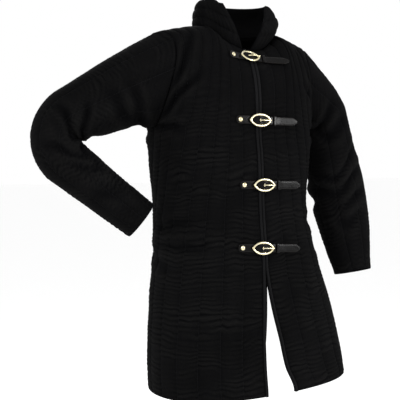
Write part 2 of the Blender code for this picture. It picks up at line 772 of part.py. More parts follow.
def make_tongue(index, place, material):
    """The tongue: a wire bent round the bar that rests on the far end of the frame."""
    work = bmesh.new()
    bend = 0.0013 + 0.0003 + TONGUE_WIRE
    spots = []
    for degrees in (190, 155, 120, 90):
        angle = math.radians(degrees)
        spots.append((bend * math.cos(angle), FRAME_OUT - 0.0008 + bend * math.sin(angle)))
    spots += [(0.006, FRAME_OUT + 0.0042), (0.015, FRAME_OUT + 0.0045), (0.0285, FRAME_OUT + 0.0039)]
    path = []
    for i, (along, out) in enumerate(spots):
        before, after = spots[max(i - 1, 0)], spots[min(i + 1, len(spots) - 1)]
        ahead = place(after[0], after[1], 0.0) - place(before[0], before[1], 0.0)
        side = (place(along, out, 0.002) - place(along, out, -0.002)).normalized()
        path.append((place(along, out, 0.0), side, ahead.normalized().cross(side)))
    ring_along(work, path, TONGUE_WIRE, 6, False)
    finish_solid(f"tongue_{index}", work, material)


def block(work, place, alongs, outs, ups):
    """A box bent to the cloth, from tables of its places along, out and up."""
    verts = [[[work.verts.new(place(a, o, u)) for u in ups] for o in pair] for a, pair in zip(alongs, outs)]
    last = len(alongs) - 1
    for i in range(last):
        work.faces.new((verts[i][0][0], verts[i + 1][0][0], verts[i + 1][0][1], verts[i][0][1]))
        work.faces.new((verts[i][1][0], verts[i][1][1], verts[i + 1][1][1], verts[i + 1][1][0]))
        for u in (0, 1):
            work.faces.new((verts[i][0][u], verts[i][1][u], verts[i + 1][1][u], verts[i + 1][0][u]))
    for i in (0, last):
        work.faces.new((verts[i][0][0], verts[i][0][1], verts[i][1][1], verts[i][1][0]))


def make_chape(index, place, material):
    """The leather that holds the bar: it lies on the left front under the strap."""
    work = bmesh.new()
    alongs = (-0.001, 0.003, 0.007, 0.012, 0.022, 0.034, 0.046)
    bases = [CHAPE_SEAT + CHAPE_LIFT * float(smooth(0.013, 0.002, along)) for along in alongs]
    outs = [(base, base + CHAPE_THICK) for base in bases]
    block(work, place, alongs, outs, (-STRAP_WIDTH / 2, STRAP_WIDTH / 2))
    finish_solid(f"chape_{index}", work, material)


def make_keeper(index, place, material):
    """The leather loop round the strap, beside the buckle."""
    work = bmesh.new()
    half, low, high, thick = STRAP_WIDTH / 2 + 0.0008, 0.0019, 0.0066, 0.0013
    outline = ((-half, low), (-half, high), (half, high), (half, low))
    outer = (
        (-half - thick, low),
        (-half - thick, high + thick),
        (half + thick, high + thick),
        (half + thick, low),
    )
    loops = []
    for along in (KEEPER_AT - 0.0035, KEEPER_AT + 0.0035):
        inner_loop = [work.verts.new(place(along, out, up)) for up, out in outline]
        outer_loop = [work.verts.new(place(along, out, up)) for up, out in outer]
        loops.append((inner_loop, outer_loop))
    (inner_a, outer_a), (inner_b, outer_b) = loops
    for i in range(3):
        work.faces.new((inner_a[i], inner_a[i + 1], inner_b[i + 1], inner_b[i]))
        work.faces.new((outer_a[i], outer_b[i], outer_b[i + 1], outer_a[i + 1]))
        work.faces.new((inner_a[i], outer_a[i], outer_a[i + 1], inner_a[i + 1]))
        work.faces.new((inner_b[i], inner_b[i + 1], outer_b[i + 1], outer_b[i]))
    for i in (0, 3):
        work.faces.new((inner_a[i], inner_b[i], outer_b[i], outer_a[i]))
    finish_solid(f"keeper_{index}", work, material)


def make_rivet(index, place, material):
    """The domed brass head on the strap's foot."""
    work = bmesh.new()
    seat = strap_height(RIVET_AT) + STRAP_THICK / 2 + 0.0003
    sides = 14
    rings = ((1.0, 0.0), (1.0, 0.0007), (0.86, 0.0019), (0.50, 0.0029))
    loops = []
    for share, out in rings:
        loop = []
        for k in range(sides):
            angle = 2 * math.pi * k / sides
            reach = RIVET_RADIUS * share
            loop.append(work.verts.new(place(RIVET_AT + reach * math.cos(angle), seat + out, reach * math.sin(angle))))
        loops.append(loop)
    for here, there in zip(loops, loops[1:]):
        for k in range(sides):
            n = (k + 1) % sides
            work.faces.new((here[k], here[n], there[n], there[k]))
    work.faces.new(loops[0][::-1])
    crown = work.verts.new(place(RIVET_AT, seat + 0.0032, 0.0))
    for k in range(sides):
        work.faces.new((loops[-1][k], loops[-1][(k + 1) % sides], crown))
    finish_solid(f"rivet_{index}", work, material)


def make_closures(materials):
    for index, (z, fall, shift) in enumerate(CLOSURES, start=1):
        place = ClosureFrame(z, fall, shift).place
        make_strap(index, place, materials["strap_leather"])
        make_buckle(index, place, materials["brass"])
        make_tongue(index, place, materials["brass"])
        make_chape(index, place, materials["strap_leather"])
        make_keeper(index, place, materials["strap_leather"])
        make_rivet(index, place, materials["brass"])


def make_materials():
    made = {}
    for name, (colour, roughness, metallic) in COLOURS.items():
        material = bpy.data.materials.new(name)
        material.use_nodes = True
        shader = material.node_tree.nodes["Principled BSDF"]
        shader.inputs["Base Color"].default_value = (*colour, 1.0)
        shader.inputs["Roughness"].default_value = roughness
        shader.inputs["Metallic"].default_value = metallic
        made[name] = material
    return made


def main():
    for old in list(bpy.data.objects):
        bpy.data.objects.remove(old)
    materials = make_materials()
    make_panels(materials)
    make_binding("edge_right", materials["binding_tape"])
    make_binding("edge_left", materials["binding_tape"])
    make_closures(materials)


main()
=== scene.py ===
"""Gambeson in its worn form: quilted cotton, bound edges, and four leather straps with brass buckles.

Metres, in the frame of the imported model. The cloth is worked out from the same sizes as its solids,
then quilted, puckered and creased.
"""

import math

import bmesh
import bpy
import numpy as np
from mathutils import Matrix, Vector


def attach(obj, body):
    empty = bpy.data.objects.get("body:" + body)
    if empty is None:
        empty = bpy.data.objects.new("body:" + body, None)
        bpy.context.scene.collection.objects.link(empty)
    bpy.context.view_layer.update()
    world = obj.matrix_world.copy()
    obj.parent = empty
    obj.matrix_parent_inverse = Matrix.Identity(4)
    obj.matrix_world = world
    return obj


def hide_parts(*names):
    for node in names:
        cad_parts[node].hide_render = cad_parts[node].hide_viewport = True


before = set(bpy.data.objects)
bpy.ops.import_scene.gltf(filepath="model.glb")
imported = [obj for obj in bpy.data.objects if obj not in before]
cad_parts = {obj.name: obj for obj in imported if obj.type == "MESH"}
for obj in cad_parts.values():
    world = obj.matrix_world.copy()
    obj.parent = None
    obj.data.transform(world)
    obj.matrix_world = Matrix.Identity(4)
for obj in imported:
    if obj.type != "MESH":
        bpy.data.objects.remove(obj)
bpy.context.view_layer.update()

# ---- sizes that the solids share

WALL = 0.004
SEAM = 0.0005
BINDING_RISE = 0.0037
BINDING_WIDTH = 0.0075
HEM_Z = -0.863
ARMPIT_Z = -0.225
SLIT_TOP_Z = -0.56

RINGS = {
    "z": (-0.863, -0.800, -0.735, -0.655, -0.560, -0.4175, -0.300, -0.225),
    "half_width": (0.258, 0.255, 0.247, 0.234, 0.214, 0.192, 0.200, 0.209),
    "half_depth": (0.180, 0.175, 0.170, 0.164, 0.156, 0.150, 0.148, 0.142),
    "centre_x": (0.047, 0.041, 0.034, 0.024, 0.011, -0.006, -0.008, -0.009),
    "square": (0.030, 0.030, 0.030, 0.030, 0.030, 0.035, 0.040, 0.045),
    "right_edge": (-0.055, -0.051, -0.044, -0.031, -0.015, -0.005, -0.006, -0.007),
    "left_edge": (0.020, 0.003, -0.004, -0.013, -0.015, -0.005, -0.006, -0.007),
    "right_seam": (0.700, 0.700, 0.700, 0.700, 0.700, 0.640, 0.553, 0.500),
    "left_seam": (0.656, 0.662, 0.668, 0.680, 0.700, 0.640, 0.553, 0.500),
    "right_back": (0.712, 0.710, 0.708, 0.704, 0.700, 0.640, 0.553, 0.500),
    "left_back": (0.775, 0.762, 0.748, 0.730, 0.700, 0.640, 0.553, 0.500),
}
NECK_X, NECK_Z, NECK_FRONT, NECK_BACK = 0.100, 0.014, 0.078, 0.085
NECK_DROP_FRONT, NECK_DROP_BACK = 0.056, 0.006
SHOULDER_X, SHOULDER_Z, SHOULDER_SHARE = 0.218, -0.014, 0.42
NECK_SHARE = SHOULDER_SHARE / 2
ARMHOLE_BITE = 0.085
CHEST_SQUARE = 0.05
NECK_TURN = math.radians(50)
TILT = -0.055
HEM_TILT = 0.050
COLLAR_HEIGHT, COLLAR_LEAN = 0.068, -0.013
COLLAR_BULGE_RIGHT, COLLAR_BULGE_LEFT = 0.006, 0.026
COLLAR_OPEN, COLLAR_FRONT_DROP, COLLAR_BANDS = 0.050, 0.012, 3

SLEEVE_CORNERS = {
    "right": (
        ((-0.205, 0.002, -0.105), 0.0),
        ((-0.496, 0.088, -0.245), 0.067),
        ((-0.258, -0.008, -0.447), 0.0),
    ),
    "left": (
        ((0.205, 0.002, -0.128), 0.0),
        ((0.268, 0.012, -0.178), 0.080),
        ((0.368, 0.042, -0.403), 0.200),
        ((0.377, -0.010, -0.606), 0.0),
    ),
}
GIRTH = {
    "share": (0.00, 0.18, 0.35, 0.55, 0.72, 0.88, 1.00),
    "right": (0.086, 0.081, 0.070, 0.058, 0.053, 0.049, 0.047),
    "left": (0.086, 0.068, 0.068, 0.080, 0.078, 0.064, 0.051),
    "depth": (0.086, 0.082, 0.077, 0.068, 0.060, 0.052, 0.047),
}
HEAD_LENGTH = 0.115
SLEEVE_FOLDS = {
    "right": ((0.36, 0.00, 0.007, 0.030), (0.47, 0.06, 0.010, 0.030), (0.56, 0.94, 0.009, 0.030)),
    "left": ((0.20, 0.12, 0.006, 0.030), (0.52, 0.05, 0.007, 0.035), (0.62, 0.90, 0.005, 0.030)),
}
CLOSURES = ((-0.064, 0.120, -0.011), (-0.210, 0.03, 0.0), (-0.3625, 0.02, 0.004), (-0.5125, 0.05, -0.008))
STRAP_WIDTH, STRAP_THICK, STRAP_FOOT, STRAP_TIP = 0.019, 0.0020, -0.062, 0.106
FRAME_HALF_LENGTH, FRAME_HALF_HEIGHT, FRAME_WIRE, FRAME_OUT = 0.027, 0.0130, 0.0021, 0.0072
TONGUE_WIRE, BAR_WIRE, BAR_DROP = 0.0013, 0.0013, 0.0008
CHAPE_SEAT, CHAPE_THICK, CHAPE_LIFT, CHAPE_END = 0.0003, 0.0013, 0.0030, 0.046
RIVET_AT, RIVET_RADIUS, KEEPER_AT, FREE_FROM = -0.051, 0.0056, 0.041, 0.050

# ---- sizes of the visual cloth

CHANNELS = 8
FINE = 12  # columns in one channel
ROWS_BELOW, ROWS_ABOVE = 336, 104
SLEEVE_ROWS = 224
COLLAR_ROWS = 30
BINDING_COLUMNS = 12
PUCKER, PUCKER_DEPTH = 0.0118, 0.00094  # one pucker to the next along a channel, and its height
PADDING = 0.0024  # how far the outer cloth rises between two stitch lines
STITCH_DEPTH, STITCH_HALF = 0.0006, 0.0016  # the groove along a stitch line
SEWN, SEWN_SIDE = 0.010, 0.006  # how far in from a piece's ends and sides its padding is pressed flat
CALM = 0.012  # how far in from a seam the cloth sways and creases in full
COLLAR_LAP, COLLAR_LAP_DROP = 0.0014, 0.0030  # the collar's plain side laps over the neck seam
FOLD_SHADE = 90.0  # how much painted shade darkens a pressed fold, for each metre of its depth

# ---- sizes of the visual closures

CLOSURE_TURNS = np.linspace(-0.16, 0.20, 37)  # each side of the front edge, which is the place MIDDLE
MIDDLE = 16
HALVINGS = 26  # steps in which a height is searched
HUMP, HUMP_HALF = 0.0078, 0.0105  # the strap's rise over the bar
LIFT_FROM, LIFT_SLOPE, LIFT_EASE = 0.054, 0.125, 0.004  # its free end, off the cloth
STRAP_ROWS = ((STRAP_FOOT, -0.052, 9), (-0.050, 0.086, 96), (0.088, STRAP_TIP, 15))  # from, to, rows
STRAP_COLUMNS, SLOT_COLUMNS, SLOT = 14, (5, 9), (-0.0058, 0.0052)
HOLES, HOLE_RADIUS = (0.062, 0.076, 0.090), 0.0011
EDGE_ROUND, EDGE_DROP = 0.0012, 0.00055  # of a strip of leather
LINE_IN, LINE_DEPTH, LINE_HALF = 0.0022, 0.00022, 0.0005  # the sewn line inside its edge
KEEPER_WIDTH, KEEPER_THICK, KEEPER_LOW, KEEPER_HIGH = 0.0070, 0.0013, 0.0019, 0.0066
KEEPER_SIDE, KEEPER_BEND, KEEPER_ROWS = STRAP_WIDTH / 2 + 0.0008, 0.0012, 11
FRAME_POINTED, FRAME_FULL = 1.65, 0.80  # exponents of the frame's outline
WIRE_WIDE, WIRE_FLAT = 1.32, 0.86  # the frame's wire, across and on its face
TONGUE_LINE = ((0.006, 0.0042), (0.015, 0.0045), (0.0225, 0.0043), (0.0285, 0.0039))  # along, over the frame
RIVET_DOME = (
    (0.0, 0.0), (0.93, 0.0), (1.0, 0.0004), (1.0, 0.0009), (0.93, 0.0013),
    (0.84, 0.0018), (0.66, 0.0027), (0.42, 0.0033), (0.18, 0.00355), (0.0, 0.0036),
)  # share of the radius, out from the strap


# ---- the garment's form


def smooth(low, high, value):
    share = np.clip((value - low) / (high - low), 0.0, 1.0)
    return share * share * (3.0 - 2.0 * share)


def unit(vectors):
    return vectors / np.linalg.norm(vectors, axis=-1, keepdims=True)


def rounded(share):
    """A quarter round: 0 at 0, and 1 from 1 on."""
    return np.sqrt(1 - (1 - np.clip(share, 0, 1)) ** 2)


def shares(steps):
    return np.linspace(0.0, 1.0, steps + 1)


def run_along(points):
    """How far each point lies along its line, from the first."""
    return np.concatenate(([0.0], np.cumsum(np.linalg.norm(np.diff(points, axis=0), axis=1))))


def between(along, run, points):
    return np.stack([np.interp(along, run, points[:, i]) for i in range(points.shape[1])], axis=-1)


def squared(angle, square):
    """Cosine and sine of a round that fills its corners by this share."""
    cosine = (np.cos(angle) - square * np.cos(3 * angle)) / (1 - square)
    return cosine, (np.sin(angle) + square * np.sin(3 * angle)) / (1 - square)


def read_table(table, column, value):
    """Smooth reading of one column of a table by its first, with a cubic through its rows."""
    xs, ys = np.array(next(iter(table.values()))), np.array(table[column])
    slopes = np.gradient(ys, xs)
    slopes[0] = slopes[-1] = 0.0
    i = int(np.clip(np.searchsorted(xs, value) - 1, 0, len(xs) - 2))
    step = xs[i + 1] - xs[i]
    s = min(max((value - xs[i]) / step, 0.0), 1.0)
    start = ys[i] * (1 + 2 * s) * (1 - s) ** 2 + slopes[i] * step * s * (1 - s) ** 2
    end = ys[i + 1] * s * s * (3 - 2 * s) - slopes[i + 1] * step * s * s * (1 - s)
    return start + end


def ring_outline(z):
    angle = np.linspace(0.0, math.pi, 361)
    width, depth, middle, square = (
        read_table(RINGS, name, z) for name in ("half_width", "half_depth", "centre_x", "square")
    )
    forward, aside = squared(angle, square)
    x, y = width * aside, -depth * forward
    return x, y, run_along(np.stack((x, y), axis=1)), middle


def half_girth(z):
    return ring_outline(z)[2][-1]


def on_ring(turns, z):
    wrapped = (turns + 1.0) % 2.0 - 1.0
    x, y, along, middle = ring_outline(z)
    reach = np.abs(wrapped) * along[-1]
    side = np.where(wrapped < 0, -1.0, 1.0)
    return side * np.interp(reach, along, x), np.interp(reach, along, y), middle, side, np.abs(wrapped)


def top_of_column(share):
    """Where the cloth ends above the armpit: on the neckline, then along the shoulder."""
    front = share <= 0.5
    out = np.where(front, share, 1.0 - share)
    turn = np.minimum(out / NECK_SHARE, 1.0) * math.pi / 2
    past = np.maximum((out - NECK_SHARE) / (SHOULDER_SHARE - NECK_SHARE), 0.0)
    x = NECK_X * np.sin(turn) + (SHOULDER_X - NECK_X) * past
    y = np.where(front, -NECK_FRONT, NECK_BACK) * np.cos(turn)
    drop = np.where(front, NECK_DROP_FRONT, NECK_DROP_BACK)
    z = NECK_Z - drop * np.cos(turn) ** 2 + (SHOULDER_Z - NECK_Z) * past ** 1.15
    lean = NECK_TURN + (math.pi / 2 - NECK_TURN) * smooth(0.0, math.pi / 2, turn)
    return x, y, z, lean


def torso_row(turns, level):
    """Points of the torso at one level: -1 at the hem, 0 at the armpit, 1 at neck and shoulder."""
    if level <= 0.0:
        z = ARMPIT_Z + level * (ARMPIT_Z - HEM_Z)
        x, y, middle, side, share = on_ring(turns, z)
        points = np.stack((x + middle, y, np.full_like(x, z)), axis=1)
    else:
        x, y, middle, side, share = on_ring(turns, ARMPIT_Z)
        top_x, top_y, top_z, lean = top_of_column(share)
        climb = 2 / math.pi * math.asin(min((1 - math.cos(math.pi * level)) / 2, 1.0))
        forward, rise = squared(lean * climb, CHEST_SQUARE)
        end, top = squared(lean, CHEST_SQUARE)
        centre = (top_y - y * end) / (1 - end)
        lift = rise / top
        x = (x + middle) * (1 - lift) + side * top_x * lift
        y = centre + (y - centre) * forward
        points = np.stack((x, y, ARMPIT_Z + (top_z - ARMPIT_Z) * lift), axis=1)
        points[:, 1] += np.where(share <= 0.5, -0.5, 0.5) * SEAM * smooth(0.6, 1.0, level)
    low = 1.0 - smooth(HEM_Z, SLIT_TOP_Z, points[:, 2])
    points[:, 2] += TILT * points[:, 0] * smooth(-0.32, -0.05, points[:, 2])
    points[:, 2] += HEM_TILT * points[:, 0] * low
    return points


def armhole_share(level):
    rise = (1 - math.cos(math.pi * level)) / 2
    return 0.5 + (SHOULDER_SHARE - 0.5) * rise - ARMHOLE_BITE * math.sin(math.pi * level)


def panel_ends(name, level):
    """The turns at which a panel or an edge binding starts and ends at one level."""
    z = ARMPIT_Z + min(level, 0.0) * (ARMPIT_Z - HEM_Z)
    girth = half_girth(z)
    gap = SEAM / 2 / girth
    tape = BINDING_WIDTH / girth
    right = read_table(RINGS, "right_edge", z) / girth - gap
    left = max(read_table(RINGS, "left_edge", z) / girth, right + gap) + gap
    if name == "edge_right":
        return right, right - tape
    if name == "edge_left":
        return left, left + tape
    if level > 0:
        front_end = armhole_share(level) - gap
        back_start = front_end - 1
        back_end = -1 - front_end
    else:
        right_seam, left_seam, right_back, left_back = (
            read_table(RINGS, column, z)
            for column in ("right_seam", "left_seam", "right_back", "left_back")
        )
        back_start = -max(right_back, right_seam) - gap
        back_end = max(left_back, left_seam) + gap - 2
        front_end = (right_seam if name == "front_right" else left_seam) - gap
    if name == "front_right":
        return right - tape - 2 * gap, -front_end
    if name == "front_left":
        return left + tape + 2 * gap, front_end
    return back_start, back_end


def panel_turns(name, level, share):
    """Turns of a piece's columns at one level. The neck's corner is a panel's middle column."""
    start, end = panel_ends(name, level)
    even = start + (end - start) * share
    if level <= 0 or not name.startswith("front"):
        return even
    side = math.copysign(1.0, end)
    full = side * 0.5
    crowded = start + (full - start) * share + (end - full) * share ** 2.5
    neck = side * NECK_SHARE
    cornered = np.where(
        share < 0.5, start + (neck - start) * share * 2, neck + (end - neck) * (share * 2 - 1)
    )
    return crowded + (cornered - crowded) * smooth(0.35, 1.0, level)


LEVELS = np.concatenate((shares(ROWS_BELOW) - 1.0, shares(ROWS_ABOVE)[1:]))


def rounded_route(corners, samples=800):
    """A route of straight runs with a round bend at each corner, as evenly spaced points."""
    points = [np.array(corner[0]) for corner in corners]
    route = [points[0]]
    for before, here, after, radius in zip(points, points[1:], points[2:], [c[1] for c in corners[1:-1]]):
        back, ahead = unit(before - here), unit(after - here)
        half_angle = math.acos(float(back @ ahead)) / 2
        centre = here + unit(back + ahead) * radius / math.sin(half_angle)
        start = here + back * radius / math.tan(half_angle) - centre
        end = here + ahead * radius / math.tan(half_angle) - centre
        sweep = math.pi - 2 * half_angle
        for share in shares(24):
            weights = math.sin((1 - share) * sweep), math.sin(share * sweep)
            route.append(centre + (start * weights[0] + end * weights[1]) / math.sin(sweep))
    route.append(points[-1])
    route = np.array(route)
    along = run_along(route)
    return between(np.linspace(0.0, along[-1], samples), along, route), along[-1]


def sleeve_grid(side, ring, round_share):
    """Grid of the sleeve's points, from its armhole ring to its cuff, and its length."""
    corners = SLEEVE_CORNERS[side]
    route, length = rounded_route(((tuple(ring.mean(axis=0)), 0.0),) + corners[1:])
    tangents = unit(np.gradient(route, axis=0))
    down = unit(ring[0] - ring.mean(axis=0))
    downs = []
    for tangent in tangents:
        down = unit(down - (down @ tangent) * tangent)
        downs.append(down)
    spin = 2 * math.pi * round_share
    front = np.array((0.0, -1.0, 0.0))
    grid = []
    for share in shares(SLEEVE_ROWS):
        at = int(round(share * (len(route) - 1)))
        half_width = read_table(GIRTH, side, share)
        depth = read_table(GIRTH, "depth", share)
        across = np.cross(downs[at], tangents[at])
        across *= np.sign(across @ front) if abs(across @ front) > 0.05 else 1.0
        circle = half_width * np.cos(spin)[:, None] * downs[at] + depth * np.sin(spin)[:, None] * across
        blend = smooth(0.0, HEAD_LENGTH, share * length)
        spokes = (1 - blend) * (ring - ring.mean(axis=0)) + blend * circle
        for fold_at, column, deep, half in SLEEVE_FOLDS[side]:
            away = (share - fold_at) * length / half
            round_it = np.abs((round_share - column + 0.5) % 1.0 - 0.5)
            press = deep * math.exp(-away * away * 3) * np.exp(-(round_it / 0.13) ** 2)
            spokes = spokes * (1 - press[:, None] / np.linalg.norm(spokes, axis=1, keepdims=True))
        grid.append(route[at] + spokes)
    return np.array(grid), length


def collar_grid(base):
    """Points of the collar, over the neckline from its right front edge to its left."""
    spokes = base - np.array((0.0, 0.004, 0.0))
    spokes[:, 2] = 0.0
    outward = unit(spokes)
    share_round = np.linspace(-1.0, 1.0, len(base))
    swing = COLLAR_OPEN * (smooth(0.55, 1.0, share_round) - smooth(0.55, 1.0, -share_round))
    bulge = COLLAR_BULGE_RIGHT + (COLLAR_BULGE_LEFT - COLLAR_BULGE_RIGHT) * smooth(-0.3, 0.6, share_round)
    drop = COLLAR_FRONT_DROP * smooth(0.45, 1.0, np.abs(share_round))
    top = NECK_Z + COLLAR_HEIGHT - drop + TILT * base[:, 0] * 0.6
    grid = []
    for share in shares(COLLAR_ROWS):
        row = base.copy()
        row += outward * (COLLAR_LEAN * share + bulge[:, None] * math.sin(math.pi * share))
        row[:, 0] += swing * share ** 1.3
        row[:, 2] += (top - base[:, 2]) * share
        grid.append(row)
    return np.array(grid)


# ---- quilting, puckers and creases


def channel_shares(count, fine=FINE):
    """Column places over a run of channels, closer together beside the stitch lines."""
    step = np.arange(fine) / fine
    spread = step - 0.1 * np.sin(2 * math.pi * step)
    return np.append(np.concatenate([k + spread for k in range(count)]), count) / count


def drift(x, y, cell, seed):
    """A smooth random field between -1 and 1, over metres."""
    table = np.random.default_rng(seed).uniform(-1.0, 1.0, (64, 64))
    x, y = np.broadcast_arrays(np.asarray(x, float) / cell, np.asarray(y, float) / cell)
    i, j = np.floor(x).astype(int), np.floor(y).astype(int)
    fx, fy = smooth(0.0, 1.0, x - i), smooth(0.0, 1.0, y - j)
    near = table[i % 64, j % 64] * (1 - fx) + table[(i + 1) % 64, j % 64] * fx
    far = table[i % 64, (j + 1) % 64] * (1 - fx) + table[(i + 1) % 64, (j + 1) % 64] * fx
    return near * (1 - fy) + far * fy


def lengths(grid, axis):
    """Metres along one axis of a grid of points."""
    steps = np.linalg.norm(np.diff(grid, axis=axis), axis=2)
    total = np.cumsum(steps, axis=axis)
    return np.concatenate((np.zeros_like(np.take(total, [0], axis=axis)), total), axis=axis)


def upright(grid, y=0.0):
    """The place on an upright middle line, this far back, that is level with each point."""
    return np.array((0.0, y, 0.0)) + grid * np.array((0.0, 0.0, 1.0))


def grid_normals(grid, closed, centre):
    if closed:
        across = np.roll(grid, -1, axis=1) - np.roll(grid, 1, axis=1)
    else:
        across = np.gradient(grid, axis=1)
    along = np.gradient(grid, axis=0)
    normals = np.cross(across, along)
    normals /= np.maximum(np.linalg.norm(normals, axis=2, keepdims=True), 1e-12)
    return normals * np.sign(np.sum(normals * (grid - centre)))


def quilt(across, along, share, channels, strength, seed):
    """Height of the outer cloth over its stitch lines, its painted light and shade (set by how high in a pucker
    and on a channel's crown), and how close to a line.
    """
    place = np.minimum(share * channels, channels - 1e-9)
    channel = np.floor(place)
    phase = place - channel
    crown = np.sin(math.pi * phase) ** 0.62
    width = np.ptp(across, axis=1, keepdims=True) / channels
    line = np.minimum(phase, 1 - phase) * width
    puff = 1.0 + 0.16 * drift(along, channel * 7.3, 0.080, seed)
    puff += 0.10 * drift(across, along, 0.022, seed + 1)
    warp = 0.0120 * drift(across, along, 0.070, seed + 2) + 0.0030 * drift(across, along, 0.018, seed + 8)
    warp += 0.0045 * drift(channel * 3.1, along, 0.032, seed + 3)
    turn = math.pi * (along + warp) / PUCKER + channel * 0.35
    finer = np.sin(3.4 * turn + channel * 4.7 + phase * 3.0)
    wave = 2.0 * np.abs(np.sin(turn)) ** 0.75 - 1.0 + 0.30 * finer  # round crests, narrow valleys
    patchy = np.clip(0.60 + 0.70 * drift(across * 0.45, along, 0.022, seed + 4), 0.08, 1.2)
    depth = PUCKER_DEPTH * strength * patchy * (0.70 + 0.35 * (1 - crown))
    rise = PADDING * crown * puff + depth * wave
    rise -= STITCH_DEPTH * np.exp(-((line / STITCH_HALF) ** 2))
    # painted light and shade: lighter on the channel crowns and pucker tops, darker in the pucker valleys
    shading = 0.42 + 0.16 * crown + 0.42 * patchy * strength * wave
    return rise, shading, line


def creases(across, along, lines):
    """Depth of the folds that are pressed in. A line runs between two places, as shares of the grid."""
    depth = np.zeros_like(across)
    rows, columns = across.shape
    for column_a, row_a, column_b, row_b, deep, half in lines:
        ends = []
        for column, row in ((column_a, row_a), (column_b, row_b)):
            i, j = int(round(row * (rows - 1))), int(round(column * (columns - 1)))
            ends.append((across[i, j], along[i, j]))
        (x, y), (to_x, to_y) = ends
        run = math.hypot(to_x - x, to_y - y)
        t = ((across - x) * (to_x - x) + (along - y) * (to_y - y)) / run ** 2
        wander = 0.25 * half * np.sin(t * 9.0 + deep * 900.0)
        off = ((across - x) * (to_y - y) - (along - y) * (to_x - x)) / run + wander
        taper = smooth(-0.15, 0.3, t) * (1 - smooth(0.7, 1.15, t))
        depth -= deep * taper * np.exp(-((off / half) ** 2))
        depth += 0.5 * deep * taper * np.exp(-(((np.abs(off) - 1.9 * half) / (0.9 * half)) ** 2))
    return depth


# ---- walls from grids

TAGS = ("row", "column", "wall")


def link(name, data):
    thing = bpy.data.objects.new(name, data)
    bpy.context.scene.collection.objects.link(thing)
    return thing


def mesh_from(name, work, material):
    mesh = bpy.data.meshes.new(name)
    work.to_mesh(mesh)
    work.free()
    mesh.materials.append(material)
    return mesh


def shell(name, outer, inner, material, fine=None, closed=False, slit=None):
    """A closed wall between two grids of points.

    Two flat grids are made one over the other and bridged round their edges, then bent into place.
    fine holds values that the material reads, by name, for the outer wall.
    """
    rows, columns = outer.shape[0] - 1, outer.shape[1] - (0 if closed else 1)
    work = bmesh.new()
    uv_map = work.loops.layers.uv.new("UVMap")
    tags = [work.verts.layers.int.new(tag) for tag in TAGS]
    for wall in (0, 1):
        flat = bmesh.ops.create_grid(work, x_segments=columns, y_segments=rows, size=0.5, calc_uvs=True)
        made = flat["verts"]
        for vert in made:
            column, row = round((vert.co.x + 0.5) * columns), round((vert.co.y + 0.5) * rows)
            for tag, value in zip(tags, (row, column, wall)):
                vert[tag] = value
            if closed:
                turn = 2 * math.pi * column / columns
                reach = 1.0 - 0.5 * wall
                height = (row - rows / 2) * (0.1 - 0.01 * wall)
                vert.co = (reach * math.cos(turn), reach * math.sin(turn), height)
            else:
                vert.co = (column * 0.1, row * 0.1, -1.0 * wall)
        if slit:
            low_row, high_row, low_column, high_column = slit
            inside = [
                face
                for face in {face for vert in made for face in vert.link_faces}
                if low_row < face.calc_center_median().y * 10 < high_row
                and low_column < face.calc_center_median().x * 10 < high_column
            ]
            bmesh.ops.delete(work, geom=inside, context="FACES")
    if closed:
        bmesh.ops.remove_doubles(work, verts=work.verts[:], dist=1e-4)
    row_tag = tags[0]
    open_edges = [edge for edge in work.edges if edge.is_boundary]
    if closed:
        groups = [[e for e in open_edges if e.verts[0][row_tag] == end] for end in (0, rows)]
    elif slit:
        rim = [e for e in open_edges if all(on_rim(v, tags, rows, columns) for v in e.verts)]
        groups = [rim, [e for e in open_edges if e not in set(rim)]]
    else:
        groups = [open_edges]
    for group in groups:
        bmesh.ops.bridge_loops(work, edges=group)
    bmesh.ops.recalc_face_normals(work, faces=work.faces[:])
    uv_rim = (1.0 / columns, 1.0 / rows)
    walls = (outer.tolist(), inner.tolist())
    count = columns if closed else columns + 1
    for vert in work.verts:
        row, column, wall = (vert[tag] for tag in tags)
        vert.co = walls[wall][row][column % count]
    width = float(np.median(np.ptp(lengths(outer, 1), axis=1))) * (1 + (1.0 / columns if closed else 0.0))
    length = float(np.median(np.ptp(lengths(outer, 0), axis=0)))
    for face in work.faces:
        if all(loop[uv_map].uv.length_squared < 1e-12 for loop in face.loops):
            for loop in face.loops:
                row, column, wall = (loop.vert[tag] for tag in tags)
                loop[uv_map].uv = (column * uv_rim[0], row * uv_rim[1] + wall * WALL / length)
        for loop in face.loops:
            loop[uv_map].uv = (loop[uv_map].uv.x * width, loop[uv_map].uv.y * length)
    if work.calc_volume(signed=True) < 0:
        bmesh.ops.reverse_faces(work, faces=work.faces[:])
    mesh = mesh_from(name, work, material)
    if fine:
        keys = np.empty(len(mesh.vertices), np.int32)
        found = {}
        for tag in TAGS:
            mesh.attributes[tag].data.foreach_get("value", keys)
            found[tag] = keys.copy()
        for key, (values, inside_value) in fine.items():
            spot = values[found["row"], found["column"] % values.shape[1]]
            spot = np.where(found["wall"] == 0, spot, inside_value)
            layer = mesh.attributes.new(key, "FLOAT", "POINT")
            layer.data.foreach_set("value", spot.astype(np.float32))
    for tag in TAGS:
        mesh.attributes.remove(mesh.attributes[tag])
    mesh.shade_smooth()
    mesh.set_sharp_from_angle(angle=math.radians(62))
    return link(name, mesh)


def on_rim(vert, tags, rows, columns):
    return vert[tags[0]] in (0, rows) or vert[tags[1]] in (0, columns)


def dress(piece, node):
    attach(piece, "root")
    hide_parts(node)
    return piece


# ---- finishes


